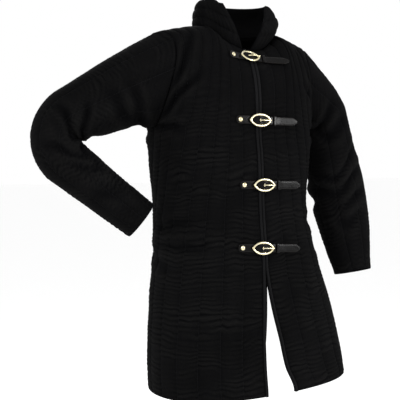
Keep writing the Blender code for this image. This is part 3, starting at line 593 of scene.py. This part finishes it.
class Finish:
    """A Principled material, and short ways to add and join its nodes."""

    def __init__(self, name, colour, roughness, **settings):
        self.material = bpy.data.materials.new(name)
        self.material.use_nodes = True
        self.nodes, self.links = self.material.node_tree.nodes, self.material.node_tree.links
        self.shader = self.nodes["Principled BSDF"]
        self.shader.inputs["Base Color"].default_value = (*colour, 1.0)
        self.shader.inputs["Roughness"].default_value = roughness
        for socket, value in settings.items():
            self.shader.inputs[socket.replace("_", " ")].default_value = value
        self.places = self.add("ShaderNodeTexCoord")

    def add(self, kind, inputs=None, **settings):
        node = self.nodes.new(kind)
        for key, value in settings.items():
            setattr(node, key, value)
        for socket, value in (inputs or {}).items():
            self.put(value, node.inputs[socket])
        return node

    def put(self, value, socket):
        if hasattr(value, "is_output"):
            self.links.new(value, socket)
        else:
            socket.default_value = value

    def math(self, operation, *values):
        return self.add("ShaderNodeMath", dict(enumerate(values)), operation=operation).outputs[0]

    def value(self, name):
        return self.add("ShaderNodeAttribute", attribute_name=name).outputs["Fac"]

    def noise(self, scale, detail=3.0, where="Object", roughness=0.55):
        inputs = {"Vector": self.places.outputs[where], "Scale": scale, "Detail": detail, "Roughness": roughness}
        return self.add("ShaderNodeTexNoise", inputs).outputs["Fac"]

    def ramp(self, value, *stops):
        """A colour ramp. Each stop is its place and its colour, or its place and one grey value."""
        node = self.add("ShaderNodeValToRGB", {"Fac": value})
        points = node.color_ramp.elements
        while len(points) < len(stops):
            points.new(0.5)
        for point, (place, colour) in zip(points, stops):
            point.position = place
            point.color = (*colour, 1.0) if hasattr(colour, "__len__") else (colour, colour, colour, 1.0)
        return node.outputs["Color"]

    def blend(self, share, one, other, how="MIX"):
        node = self.add("ShaderNodeMix", data_type="RGBA", blend_type=how)
        for socket, value in ((0, share), (6, one), (7, other)):
            if not hasattr(value, "is_output") and socket and not hasattr(value, "__len__"):
                value = (value, value, value, 1.0)
            self.put(value, node.inputs[socket])
        return node.outputs[2]

    def times(self, one, other):
        return self.math("MULTIPLY", one, other)

    def shade(self, colour, by):
        return self.blend(1.0, colour, by, "MULTIPLY")

    def stripes(self, where, spacing):
        """Soft stripes from 0 to 1, this far apart in metres along one coordinate."""
        wave = self.math("SINE", self.times(where, 2 * math.pi / spacing))
        return self.math("MULTIPLY_ADD", wave, 0.5, 0.5)

    def stitches(self, along, spacing, gap, half):
        """1 on the thread of a sewn line, 0 elsewhere. The gap is the share between two stitches."""
        dash = self.math("GREATER_THAN", self.stripes(along, spacing), gap)
        return self.times(dash, self.math("LESS_THAN", self.value("line"), half))

    def split(self, where="UV"):
        return self.add("ShaderNodeSeparateXYZ", {"Vector": self.places.outputs[where]}).outputs

    def bump(self, height, distance, strength=1.0, under=None):
        inputs = {"Height": height, "Distance": distance, "Strength": strength}
        if under:
            inputs["Normal"] = under
        return self.add("ShaderNodeBump", inputs).outputs["Normal"]

    def finish(self, colour=None, roughness=None, normal=None):
        for socket, value in (("Base Color", colour), ("Roughness", roughness), ("Normal", normal)):
            if value is not None:
                self.put(value, self.shader.inputs[socket])
        return self.material


def cotton():
    """Black cotton: plain weave, with painted light on the channel and pucker tops and painted shade in the
    stitch lines, pucker valleys and folds, with lint and thread.
    """
    made = Finish(
        "quilted_cotton", (0.0045, 0.0045, 0.0048), 0.95,
        Sheen_Weight=0.004, Sheen_Roughness=0.55, Sheen_Tint=(0.55, 0.56, 0.60, 1.0), Specular_IOR_Level=0.015,
    )
    across, along = made.split()[:2]
    warp, weft = made.stripes(across, 0.0011), made.stripes(along, 0.0011)
    from_middle = [made.math("SUBTRACT", yarns, 0.5) for yarns in (warp, weft)]
    over = made.math("GREATER_THAN", made.times(*from_middle), 0.0)
    weave = made.math("ADD", made.times(over, 0.5), made.times(made.math("ADD", warp, weft), 0.25))
    clouds, yarn = made.noise(5.0, 4.0), made.noise(260.0, 2.0)
    lint = made.math("GREATER_THAN", made.noise(900.0, 1.0), 0.72)
    # painted shade in the stitch lines, pucker valleys and folds, painted light on the channel and pucker tops
    colour = made.ramp(
        made.value("painted_shading"),
        (0.0, (0.0007, 0.0007, 0.0009)), (0.45, (0.0019, 0.0019, 0.0021)), (1.0, (0.0044, 0.0043, 0.0043)),
    )
    colour = made.shade(colour, made.ramp(clouds, (0.30, 0.72), (0.70, 1.35)))
    colour = made.shade(colour, made.ramp(yarn, (0.3, 0.80), (0.7, 1.22)))
    colour = made.blend(made.times(weave, 0.22), colour, (0.0055, 0.0055, 0.0057, 1.0))
    thread = made.stitches(along, 0.0044, 0.42, 0.00055)
    colour = made.blend(made.times(thread, 0.8), colour, (0.0100, 0.0100, 0.0108, 1.0))
    colour = made.blend(made.times(lint, 0.25), colour, (0.030, 0.029, 0.028, 1.0))
    normal = made.bump(weave, 0.00022, 0.6)
    normal = made.bump(made.math("MAXIMUM", thread, made.times(clouds, 0.2)), 0.0005, 0.6, normal)
    return made.finish(colour, made.ramp(yarn, (0.3, 0.86), (0.7, 0.97)), normal)


def tape():
    """Black twill tape, a little greyer than the cloth, with a row of stitches near its inner edge."""
    made = Finish(
        "edge_tape", (0.0080, 0.0080, 0.0086), 0.78,
        Sheen_Weight=0.006, Sheen_Roughness=0.45, Sheen_Tint=(0.7, 0.7, 0.74, 1.0), Specular_IOR_Level=0.025,
    )
    across, along = made.split()[:2]
    ribs = made.stripes(made.math("ADD", across, along), 0.0013)
    worn = made.noise(9.0, 3.0)
    # painted shade towards the tape's rolled edges, painted light along its raised middle
    colour = made.ramp(
        made.value("painted_shading"),
        (0.0, (0.0012, 0.0012, 0.0014)), (0.55, (0.0034, 0.0034, 0.0037)), (1.0, (0.0066, 0.0066, 0.0070)),
    )
    colour = made.shade(colour, made.ramp(worn, (0.3, 0.75), (0.7, 1.3)))
    colour = made.shade(colour, made.ramp(ribs, (0.0, 0.72), (1.0, 1.15)))
    thread = made.stitches(along, 0.0036, 0.40, 0.0005)
    colour = made.blend(thread, colour, (0.0120, 0.0120, 0.0130, 1.0))
    normal = made.bump(ribs, 0.00025, 0.7)
    normal = made.bump(thread, 0.0005, 0.7, normal)
    return made.finish(colour, made.ramp(worn, (0.3, 0.66), (0.7, 0.82)), normal)


def leather():
    """Black bridle leather: glossy, finely pored, worn along its edges, with a sewn line and spare holes drawn
    as dark spots of painted shade.
    """
    made = Finish("strap_leather", (0.0025, 0.0023, 0.0023), 0.24, Specular_IOR_Level=0.10)
    inputs = {"Vector": made.places.outputs["Object"], "Scale": 1500.0}
    pores = made.add("ShaderNodeTexVoronoi", inputs).outputs["Distance"]
    grain, handled = made.noise(420.0, 4.0), made.noise(60.0, 3.0)
    colour = made.ramp(
        made.value("edge"),
        (0.0, (0.0022, 0.0020, 0.0020)), (0.75, (0.0036, 0.0032, 0.0032)), (1.0, (0.0120, 0.0100, 0.0085)),
    )
    colour = made.shade(colour, made.ramp(handled, (0.3, 0.75), (0.7, 1.35)))
    thread = made.stitches(made.split()[1], 0.0030, 0.35, 0.00035)
    colour = made.blend(thread, colour, (0.020, 0.019, 0.018, 1.0))
    # the holes are not cut: each is a dark spot of painted shade with a dip in the bump
    hole = made.math("LESS_THAN", made.value("hole"), HOLE_RADIUS)
    colour = made.blend(hole, colour, (0.0015, 0.0015, 0.0015, 1.0))
    rough = made.blend(hole, made.ramp(handled, (0.25, 0.19), (0.75, 0.29)), 0.9)
    normal = made.bump(pores, 0.00012, 0.35)
    normal = made.bump(grain, 0.00018, 0.5, normal)
    normal = made.bump(made.math("SUBTRACT", thread, made.times(hole, 2.0)), 0.0004, 0.8, normal)
    return made.finish(colour, rough, normal)


def brass():
    """Polished brass, pale, with fine scratches, soft casting marks and patches of tarnish."""
    made = Finish("polished_brass", (0.80, 0.72, 0.52), 0.20, Metallic=1.0)
    tarnish = made.noise(130.0, 4.0)
    inputs = {"Vector": made.places.outputs["Object"], "Scale": (900.0, 900.0, 90.0)}
    stretched = made.add("ShaderNodeMapping", inputs).outputs[0]
    inputs = {"Vector": stretched, "Scale": 1.0, "Detail": 2.0}
    scratch = made.add("ShaderNodeTexNoise", inputs).outputs["Fac"]
    colour = made.ramp(
        tarnish, (0.25, (0.30, 0.24, 0.10)), (0.44, (0.74, 0.66, 0.42)), (0.75, (0.88, 0.82, 0.64))
    )
    rough = made.ramp(tarnish, (0.25, 0.36), (0.60, 0.17))
    normal = made.bump(scratch, 0.00006, 0.25)
    normal = made.bump(tarnish, 0.00018, 0.25, normal)
    return made.finish(colour, rough, normal)


COTTON, TAPE, LEATHER, BRASS = cotton(), tape(), leather(), brass()

# ---- the sewn pieces

# Folds pressed into each piece: column and row of one end, of the other, depth, and half width.
# Columns and rows are shares of the piece, from its front edge and its hem, or from its armhole.
FOLDS = {
    "front_right": (
        (0.97, 0.80, 0.62, 0.87, 0.0065, 0.011),
        (0.97, 0.77, 0.66, 0.755, 0.0055, 0.012),
        (0.94, 0.85, 0.74, 0.95, 0.0050, 0.010),
        (0.92, 0.47, 0.45, 0.50, 0.0040, 0.012),
        (0.75, 0.42, 0.30, 0.43, 0.0035, 0.011),
        (0.96, 0.40, 0.60, 0.36, 0.0040, 0.014),
    ),
    "front_left": (
        (0.96, 0.80, 0.60, 0.87, 0.0060, 0.011),
        (0.97, 0.76, 0.62, 0.75, 0.0050, 0.012),
        (0.92, 0.86, 0.70, 0.94, 0.0045, 0.010),
        (0.90, 0.46, 0.42, 0.49, 0.0040, 0.012),
        (0.92, 0.38, 0.48, 0.41, 0.0038, 0.013),
    ),
    "back": (
        (0.03, 0.79, 0.30, 0.86, 0.0060, 0.012),
        (0.97, 0.79, 0.70, 0.86, 0.0060, 0.012),
        (0.05, 0.75, 0.34, 0.74, 0.0045, 0.012),
        (0.95, 0.75, 0.66, 0.74, 0.0045, 0.012),
        (0.10, 0.49, 0.46, 0.45, 0.0045, 0.013),
        (0.90, 0.48, 0.56, 0.44, 0.0045, 0.013),
        (0.22, 0.40, 0.60, 0.41, 0.0035, 0.014),
    ),
    "sleeve_right": (
        (0.02, 0.05, 0.27, 0.15, 0.0055, 0.010),
        (0.04, 0.13, 0.30, 0.24, 0.0045, 0.010),
        (0.03, 0.42, 0.30, 0.33, 0.0060, 0.009),
        (0.02, 0.46, 0.36, 0.43, 0.0060, 0.009),
        (0.02, 0.50, 0.34, 0.54, 0.0055, 0.009),
        (0.04, 0.56, 0.28, 0.66, 0.0045, 0.010),
        (0.97, 0.43, 0.70, 0.36, 0.0055, 0.010),
        (0.97, 0.50, 0.66, 0.55, 0.0055, 0.010),
        (0.98, 0.08, 0.74, 0.17, 0.0050, 0.011),
        (0.10, 0.78, 0.40, 0.82, 0.0030, 0.009),
    ),
    "sleeve_left": (
        (0.02, 0.05, 0.28, 0.13, 0.0055, 0.010),
        (0.04, 0.12, 0.32, 0.22, 0.0050, 0.010),
        (0.03, 0.44, 0.33, 0.37, 0.0055, 0.010),
        (0.02, 0.50, 0.38, 0.50, 0.0060, 0.010),
        (0.03, 0.56, 0.34, 0.62, 0.0050, 0.010),
        (0.05, 0.68, 0.30, 0.74, 0.0040, 0.010),
        (0.97, 0.46, 0.68, 0.40, 0.0055, 0.010),
        (0.97, 0.54, 0.66, 0.58, 0.0050, 0.010),
        (0.98, 0.08, 0.72, 0.18, 0.0050, 0.011),
    ),
    "collar": (
        (0.27, 0.00, 0.31, 0.95, 0.0025, 0.008),
        (0.70, 0.00, 0.66, 0.95, 0.0025, 0.008),
    ),
}


def cloth_wall(name, grid, share, channels, strength, seed, centre, closed=False, bands=False):
    """One quilted piece: its outer wall is padded between the stitch lines, its inner wall is plain."""
    across, along = lengths(grid, 1), lengths(grid, 0)
    normals = grid_normals(grid, closed, centre)
    if bands:
        rows = shares(grid.shape[0] - 1)[:, None] * np.ones_like(across)
        rise, shading, line = (part.T for part in quilt(along.T, across.T, rows.T, channels, strength.T, seed))
    else:
        rise, shading, line = quilt(across, along, share * np.ones_like(across), channels, strength, seed)
    to_end = np.minimum(along, along[-1:] - along)
    sewn = rounded(to_end / SEWN)
    if not closed:
        to_side = np.minimum(across, across[:, -1:] - across)
        sewn = np.minimum(sewn, rounded(to_side / SEWN_SIDE))
        near_side = smooth(0.0, CALM, to_side)
    else:
        near_side = np.ones_like(across)
    near_seam = smooth(0.0, CALM, to_end) * near_side
    sway = 0.0016 * drift(across, along, 0.115, seed + 9) + 0.0008 * drift(across, along, 0.050, seed + 10)
    pressed = creases(across, along, FOLDS[name])
    sway = (sway + pressed) * near_seam
    outer = grid + normals * (rise * sewn + sway)[:, :, None]
    inner = grid - normals * (WALL * (0.4 + 0.6 * near_seam) - sway)[:, :, None]
    if bands:
        inner[0] -= normals[0] * COLLAR_LAP
        inner[0, :, 2] -= COLLAR_LAP_DROP
    # painted shading: darker in pressed folds, and darker where the padding is sewn flat at a piece's ends and
    # sides
    painted_shading = np.clip(shading + FOLD_SHADE * pressed, 0.0, 1.0) * (0.4 + 0.6 * sewn)
    fine = {"painted_shading": (painted_shading, 0.5), "line": (line, 1.0)}
    piece = shell("cloth_" + name, outer, inner, COTTON, fine, closed)
    return dress(piece, name), across, along


def torso_strength(grid):
    """How strongly the cloth puckers: most on the skirt and at the waist, least on the chest."""
    return 0.42 + 0.68 * (1 - smooth(-0.36, -0.12, grid[:, :, 2]))


def panel_grid(name, share):
    return np.array([torso_row(panel_turns(name, level, share), level) for level in LEVELS])


def make_panels():
    share = channel_shares(CHANNELS)
    for seed, name in enumerate(("front_right", "front_left", "back"), start=1):
        grid = panel_grid(name, share)
        strength, centre = torso_strength(grid), upright(grid)
        piece, across, along = cloth_wall(name, grid, share, CHANNELS, strength, 20 * seed, centre)


def armhole(side):
    """Points round one armhole, spaced as the sleeve's channels are, and their shares of the way round."""
    half = channel_shares(CHANNELS // 2)
    front, back = "front_" + side, 0 if side == "right" else 1
    up, down = [], []
    for level in half:
        up.append(torso_row(np.array((panel_ends(front, level)[1],)), level)[0])
        down.append(torso_row(np.array((panel_ends("back", level)[back],)), level)[0])
    top = (up[-1] + down[-1]) / 2
    ring = np.array(up[:-1] + [top] + down[-2:0:-1])
    return ring, np.concatenate((half, 1 + half[1:-1])) / 2


def make_sleeves():
    for seed, side in enumerate(("right", "left"), start=5):
        ring, share = armhole(side)
        grid, length = sleeve_grid(side, ring, share)
        away = np.array((math.copysign(SEAM * 2, grid[0, 0, 0]), 0.0, 0.0))
        rows = shares(SLEEVE_ROWS)
        grid = grid + away * smooth(0.02, 0.0, rows * length)[:, None, None]
        strength = (0.70 + 0.50 * smooth(0.35, 0.75, rows))[:, None] * np.ones(grid.shape[:2])
        centre = grid.mean(axis=1, keepdims=True)
        piece, across, along = cloth_wall(
            "sleeve_" + side, grid, share, CHANNELS, strength, 20 * seed, centre, closed=True
        )


def make_collar():
    even = shares(16 * CHANNELS)
    half, quarter = 8 * CHANNELS, 4 * CHANNELS
    rows = {name: torso_row(panel_turns(name, 1.0, even), 1.0) for name in ("front_right", "back", "front_left")}
    right, back, left = rows["front_right"], rows["back"], rows["front_left"]
    base = np.concatenate((right[: half + 1], back[quarter + 1 : 3 * quarter], left[: half + 1][::-1]))
    grid = collar_grid(base)
    grid[:, :, 2] += SEAM * 2 * (1 - shares(COLLAR_ROWS))[:, None]
    centre = upright(grid, 0.004)
    strength = 0.60 * np.ones(grid.shape[:2])
    piece, across, along = cloth_wall("collar", grid, None, COLLAR_BANDS, strength, 160, centre, bands=True)


def make_binding(name, seed):
    """The tape folded round one front edge, a little prouder than the channels, with one sewn line."""
    share = shares(BINDING_COLUMNS)
    grid = panel_grid(name, share)
    normals = grid_normals(grid, False, upright(grid))
    across, along = lengths(grid, 1), lengths(grid, 0)
    profile = 0.45 + 0.55 * (1 - np.abs(2 * share - 1) ** 3.0)
    sewn_at = 0.82  # share of the tape's width
    line = np.abs(share[None, :] - sewn_at) * BINDING_WIDTH * np.ones_like(across)
    rise = BINDING_RISE * profile[None, :] - STITCH_DEPTH * np.exp(-((line / 0.0007) ** 2))
    rise = rise + 0.00022 * np.sin(2 * math.pi * along / 0.0068) * share[None, :]
    rise = rise + 0.0003 * drift(across, along, 0.02, seed)
    # the tape's raised profile also sets its painted light and shade
    fine = {"painted_shading": (profile[None, :] * np.ones_like(across), 0.4), "line": (line, 1.0)}
    piece = shell("binding_" + name[5:], grid + normals * rise[:, :, None], grid - normals * WALL, TAPE, fine)
    dress(piece, name)


# ---- straps and buckles


def level_at(turn, z):
    """The level at which the torso, at this turn, lies at this height."""
    low, high = -1.0, 1.0
    for _ in range(HALVINGS):
        middle = (low + high) / 2
        if torso_row(np.array((turn,)), middle)[0, 2] < z:
            low = middle
        else:
            high = middle
    return low


class Closure:
    """Places a closure's points on the front: along the strap, out from the cloth, and up."""

    def __init__(self, z, fall, shift):
        girth = half_girth(min(z, ARMPIT_Z))
        middle = read_table(RINGS, "right_edge", min(z, ARMPIT_Z)) / girth
        points, normals = [], []
        near = 0.002
        for turn in middle + CLOSURE_TURNS:
            level = level_at(turn, z - fall * (turn - middle) * girth)
            here = np.array((turn,))
            across = torso_row(here + near, level) - torso_row(here - near, level)
            up = torso_row(here, level) - torso_row(here, level - near)
            points.append(torso_row(here, level)[0])
            normals.append(unit(np.cross(across, up))[0])
        self.points, self.normals = np.array(points), np.array(normals)
        self.along = run_along(self.points)
        self.along -= self.along[MIDDLE] + shift

    def surface(self, along):
        return between(along, self.along, self.points), unit(between(along, self.along, self.normals))

    def place(self, along, out, up):
        """A point of the closure. Past the keeper the strap runs straight on and lifts off."""
        free = max(along - FREE_FROM, 0.0)
        point, normal = self.surface(along - free)
        ahead = unit(self.surface(along - free + 0.004)[0] - self.surface(along - free - 0.004)[0])
        above = unit(np.cross(ahead, normal))
        above *= math.copysign(1.0, above[2])
        return point + ahead * free + normal * (out + BINDING_RISE) + above * up


def strap_height(along):
    over_bar = HUMP * math.exp(-((along / HUMP_HALF) ** 2))
    seated = 0.0014 + 0.0020 * float(smooth(-0.002, 0.020, along))
    free = max(along - LIFT_FROM, 0.0)
    return seated + over_bar + LIFT_SLOPE * free * free / (free + LIFT_EASE)


def strap_half_width(along):
    foot = rounded((along - STRAP_FOOT) / 0.009)
    tip = min((STRAP_TIP - along) / 0.016, 1.0)
    return STRAP_WIDTH / 2 * (0.25 + 0.75 * foot) * (0.22 + 0.78 * math.sin(tip * math.pi / 2))


def leather_piece(kind, index, outer, inner, edge, line, hole, slit=None):
    """One piece of a closure in leather, with how close each point is to an edge, a sewn line and a hole."""
    fine = {"edge": (np.array(edge), 0.3), "line": (np.array(line), 1.0), "hole": (np.array(hole), 1.0)}
    piece = shell(f"leather_{kind}_{index}", np.array(outer), np.array(inner), LEATHER, fine, slit=slit)
    dress(piece, f"{kind}_{index}")


def leather_strip(kind, index, closure, alongs, half_at, bottom, thick, slit=None, holes=()):
    """A strip of leather along a closure: rounded edges, a sewn line inside them, and punched holes."""
    ease = np.linspace(-1.0, 1.0, STRAP_COLUMNS + 1)
    ease = np.sign(ease) * np.abs(ease) ** 0.75
    outer, inner, edge, line, hole = [], [], [], [], []
    for along in alongs:
        half, low = half_at(along), bottom(along)
        ups = ease * half
        margin = np.minimum(half - np.abs(ups), min(along - alongs[0], alongs[-1] - along))
        drop = EDGE_DROP * (1 - rounded(margin / EDGE_ROUND))
        groove = LINE_DEPTH * np.exp(-(((margin - LINE_IN) / LINE_HALF) ** 2))
        outer.append([closure.place(along, low + thick - d - g, up) for up, d, g in zip(ups, drop, groove)])
        inner.append([closure.place(along, low + d, up) for up, d in zip(ups, drop * 0.6)])
        edge.append(1 - np.clip(margin / 0.0016, 0, 1))
        line.append(np.abs(margin - LINE_IN))
        spots = [np.hypot(along - at, ups) for at in holes] or [np.ones_like(ups)]
        hole.append(np.min(spots, axis=0))
    leather_piece(kind, index, outer, inner, edge, line, hole, slit)


def make_strap(index, closure):
    alongs = np.concatenate([np.linspace(*run) for run in STRAP_ROWS])
    slit = tuple(int(row) for row in np.searchsorted(alongs, SLOT)) + SLOT_COLUMNS
    leather_strip(
        "strap", index, closure, alongs, strap_half_width,
        lambda along: strap_height(along) - STRAP_THICK / 2, STRAP_THICK, slit, HOLES,
    )


def make_chape(index, closure):
    leather_strip(
        "chape", index, closure, np.linspace(-0.001, CHAPE_END, 40), lambda along: STRAP_WIDTH / 2,
        lambda along: CHAPE_SEAT + CHAPE_LIFT * float(smooth(0.013, 0.002, along)), CHAPE_THICK,
    )


def make_keeper(index, closure):
    """The leather loop over the strap, beside the buckle."""
    half, low, high = KEEPER_SIDE, KEEPER_LOW, KEEPER_HIGH
    legs = []
    for side in (-1, 1):
        straight = [(side * half, low + (high - low) * s) for s in np.linspace(0, 0.75, 5)]
        bend = [
            (side * (half - KEEPER_BEND * (1 - math.cos(a))), high - KEEPER_BEND * (1 - math.sin(a)))
            for a in np.linspace(0.2, math.pi / 2, 6)
        ]
        legs.append(straight + bend)
    path = np.array(legs[0] + [(x, high) for x in np.linspace(-half * 0.7, half * 0.7, 9)] + legs[1][::-1])
    away = np.gradient(path, axis=0)
    away = unit(np.stack((-away[:, 1], away[:, 0]), axis=1))
    away *= np.sign(np.sum(away * (path - np.array((0.0, low))), axis=1, keepdims=True) + 1e-9)
    outer, inner, edge = [], [], []
    for share in np.linspace(-1, 1, KEEPER_ROWS):
        along = KEEPER_AT + share * KEEPER_WIDTH / 2
        soft = 0.0004 * (1 - math.sqrt(max(1 - (max(abs(share) - 0.7, 0.0) / 0.3) ** 2, 0.0)))
        outer.append([closure.place(along, *(p + a * (KEEPER_THICK - soft))[::-1]) for p, a in zip(path, away)])
        inner.append([closure.place(along, *p[::-1]) for p in path])
        edge.append(np.full(len(path), max(abs(share) - 0.6, 0.0) / 0.4))
    ones = np.ones((KEEPER_ROWS, len(path)))
    leather_piece("keeper", index, outer, inner, edge, ones, ones)


def metal(kind, index, work):
    bmesh.ops.recalc_face_normals(work, faces=work.faces[:])
    name = f"brass_{kind}_{index}"
    mesh = mesh_from(name, work, BRASS)
    mesh.shade_smooth()
    mesh.set_sharp_from_angle(angle=math.radians(50))
    dress(link(name, mesh), f"{kind}_{index}")


def wire(work, around, along, place, open_ends=False):
    """A grid wrapped round a path: place(turn, share) gives the point. Open ends get a flat cap."""
    made = bmesh.ops.create_grid(work, x_segments=around, y_segments=along, size=0.5)["verts"]
    for vert in made:
        turn = 2 * math.pi * round((vert.co.x + 0.5) * around) / around
        vert.co = Vector(place(turn, round((vert.co.y + 0.5) * along) / along))
    bmesh.ops.remove_doubles(work, verts=made, dist=2e-6)
    loose = [e for e in work.edges if e.is_boundary]
    if open_ends and loose:
        bmesh.ops.holes_fill(work, edges=loose, sides=around)


def make_buckle(index, closure):
    """The frame, a pointed oval with full shoulders and a flattened face, and its bar."""

    def frame_point(turn, share):
        angle = 2 * math.pi * share
        cosine, sine = math.cos(angle), math.sin(angle)
        along = FRAME_HALF_LENGTH * math.copysign(abs(cosine) ** FRAME_FULL, cosine)
        up = FRAME_HALF_HEIGHT * math.copysign(abs(sine) ** FRAME_POINTED, sine)
        centre = closure.place(along, FRAME_OUT, up)
        outward = unit(centre - closure.place(0.0, FRAME_OUT, 0.0))
        normal = unit(closure.place(along, FRAME_OUT + 0.001, up) - centre)
        stout = FRAME_WIRE * (1.0 + 0.16 * abs(math.cos(angle)) ** 6)
        flat = WIRE_FLAT if math.sin(turn) > 0 else 1.0
        return centre + outward * stout * math.cos(turn) * WIRE_WIDE + normal * stout * math.sin(turn) * flat

    ends = [closure.place(0.0, FRAME_OUT - BAR_DROP, up) for up in (-FRAME_HALF_HEIGHT, FRAME_HALF_HEIGHT)]
    ahead = unit(closure.place(0.002, FRAME_OUT, 0.0) - closure.place(-0.002, FRAME_OUT, 0.0))
    normal = unit(np.cross(ahead, ends[1] - ends[0]))

    def bar_point(turn, share):
        swell = 1.0 + 0.35 * abs(2 * share - 1) ** 8
        point = ends[0] + (ends[1] - ends[0]) * share
        return point + (ahead * math.cos(turn) + normal * math.sin(turn)) * BAR_WIRE * swell

    work = bmesh.new()
    wire(work, 16, 112, frame_point)
    wire(work, 16, 16, bar_point, open_ends=True)
    metal("buckle", index, work)


def make_tongue(index, closure):
    """The tongue: wire bent round the bar, tapering to a blunt tip on the far end of the frame."""
    bend = BAR_WIRE + 0.0003 + TONGUE_WIRE
    spots = []
    for degrees in (190, 172, 155, 137, 120, 105, 90):
        angle = math.radians(degrees)
        spots.append((bend * math.cos(angle), FRAME_OUT - BAR_DROP + bend * math.sin(angle)))
    spots = np.array(spots + [(along, FRAME_OUT + over) for along, over in TONGUE_LINE])
    run = run_along(spots)

    def at(distance):
        return between(distance, run, spots)

    def tongue_point(turn, share):
        distance = run[-1] * share
        along, out = at(distance)
        before, after = at(max(distance - 0.0008, 0)), at(min(distance + 0.0008, run[-1]))
        ahead = unit(closure.place(*after, 0.0) - closure.place(*before, 0.0))
        side = unit(closure.place(along, out, 0.002) - closure.place(along, out, -0.002))
        up = np.cross(ahead, side)
        cap = rounded(min(distance, run[-1] - distance) / TONGUE_WIRE)
        wide = TONGUE_WIRE * cap * (1.12 - 0.30 * share)
        return closure.place(along, out, 0.0) + side * wide * math.cos(turn) + up * wide * math.sin(turn)

    work = bmesh.new()
    wire(work, 14, 60, tongue_point)
    metal("tongue", index, work)


def make_rivet(index, closure):
    """The domed head on the strap's foot, with a narrow rim."""
    seat = strap_height(RIVET_AT) + STRAP_THICK / 2 - 0.0004
    steps = len(RIVET_DOME) - 1

    def head_point(turn, share):
        reach, out = RIVET_DOME[round(share * steps)]
        reach *= RIVET_RADIUS
        return closure.place(RIVET_AT + reach * math.cos(turn), seat + out, reach * math.sin(turn))

    work = bmesh.new()
    wire(work, 36, steps, head_point)
    metal("rivet", index, work)


def make_closures():
    for index, (z, fall, shift) in enumerate(CLOSURES, start=1):
        closure = Closure(z, fall, shift)
        for make in (make_strap, make_chape, make_keeper, make_buckle, make_tongue, make_rivet):
            make(index, closure)


# ---- studio

EYE = Vector((-1.325, -2.120, -0.280))
AIM_RIGHT, AIM_DOWN = math.atan(-32 / 1000), math.atan(50 / 1000)
FLOOR_Z, FLOOR_HALF = -1.45, 30.0
LIT_PLACE = Vector((0.0, 0.0, -0.40))
LIGHTS = (
    ("key", (-2.6, -1.9, 1.5), 1.4, 62.0),
    ("fill", (1.80, -2.35, 0.1), 0.6, 38.0),  # shines on the straps' free ends
    ("back", (0.6, 2.4, 1.4), 1.6, 40.0),
)  # place, size, watts


def make_camera():
    """Level with the waist, 32 degrees from the front, towards the bent sleeve."""
    camera = bpy.data.cameras.new("camera")
    camera.lens, camera.sensor_width = 90.0, 36.0
    viewer = link("camera", camera)
    heading = math.atan2(-EYE.x, -EYE.y) + AIM_RIGHT
    reach = math.cos(AIM_DOWN)
    sight = Vector((math.sin(heading) * reach, math.cos(heading) * reach, -math.sin(AIM_DOWN)))
    viewer.location = EYE
    viewer.rotation_euler = sight.to_track_quat("-Z", "Y").to_euler()
    bpy.context.scene.camera = viewer


def make_light(name, place, size, power):
    light = bpy.data.lights.new(name, "AREA")
    light.shape, light.size, light.energy = "DISK", size, power
    lamp = link(name, light)
    lamp.location = place
    lamp.rotation_euler = (LIT_PLACE - Vector(place)).to_track_quat("-Z", "Y").to_euler()


def make_studio():
    world = bpy.data.worlds.new("studio")
    world.use_nodes = True
    background = world.node_tree.nodes["Background"]
    background.inputs["Color"].default_value = (1.0, 1.0, 1.0, 1.0)
    background.inputs["Strength"].default_value = 1.0
    bpy.context.scene.world = world
    bpy.context.scene.view_settings.view_transform = "Standard"
    work = bmesh.new()
    lowered = Matrix.Translation((0.0, 0.0, FLOOR_Z))
    bmesh.ops.create_grid(work, x_segments=1, y_segments=1, size=FLOOR_HALF, matrix=lowered)
    pale = Finish("pale_floor", (0.97, 0.97, 0.97), 0.8)
    floor = link("floor", mesh_from("floor", work, pale.material))
    for light in LIGHTS:
        make_light(*light)


make_camera()
make_studio()
make_panels()
make_sleeves()
make_collar()
make_binding("edge_right", 301)
make_binding("edge_left", 302)
make_closures()
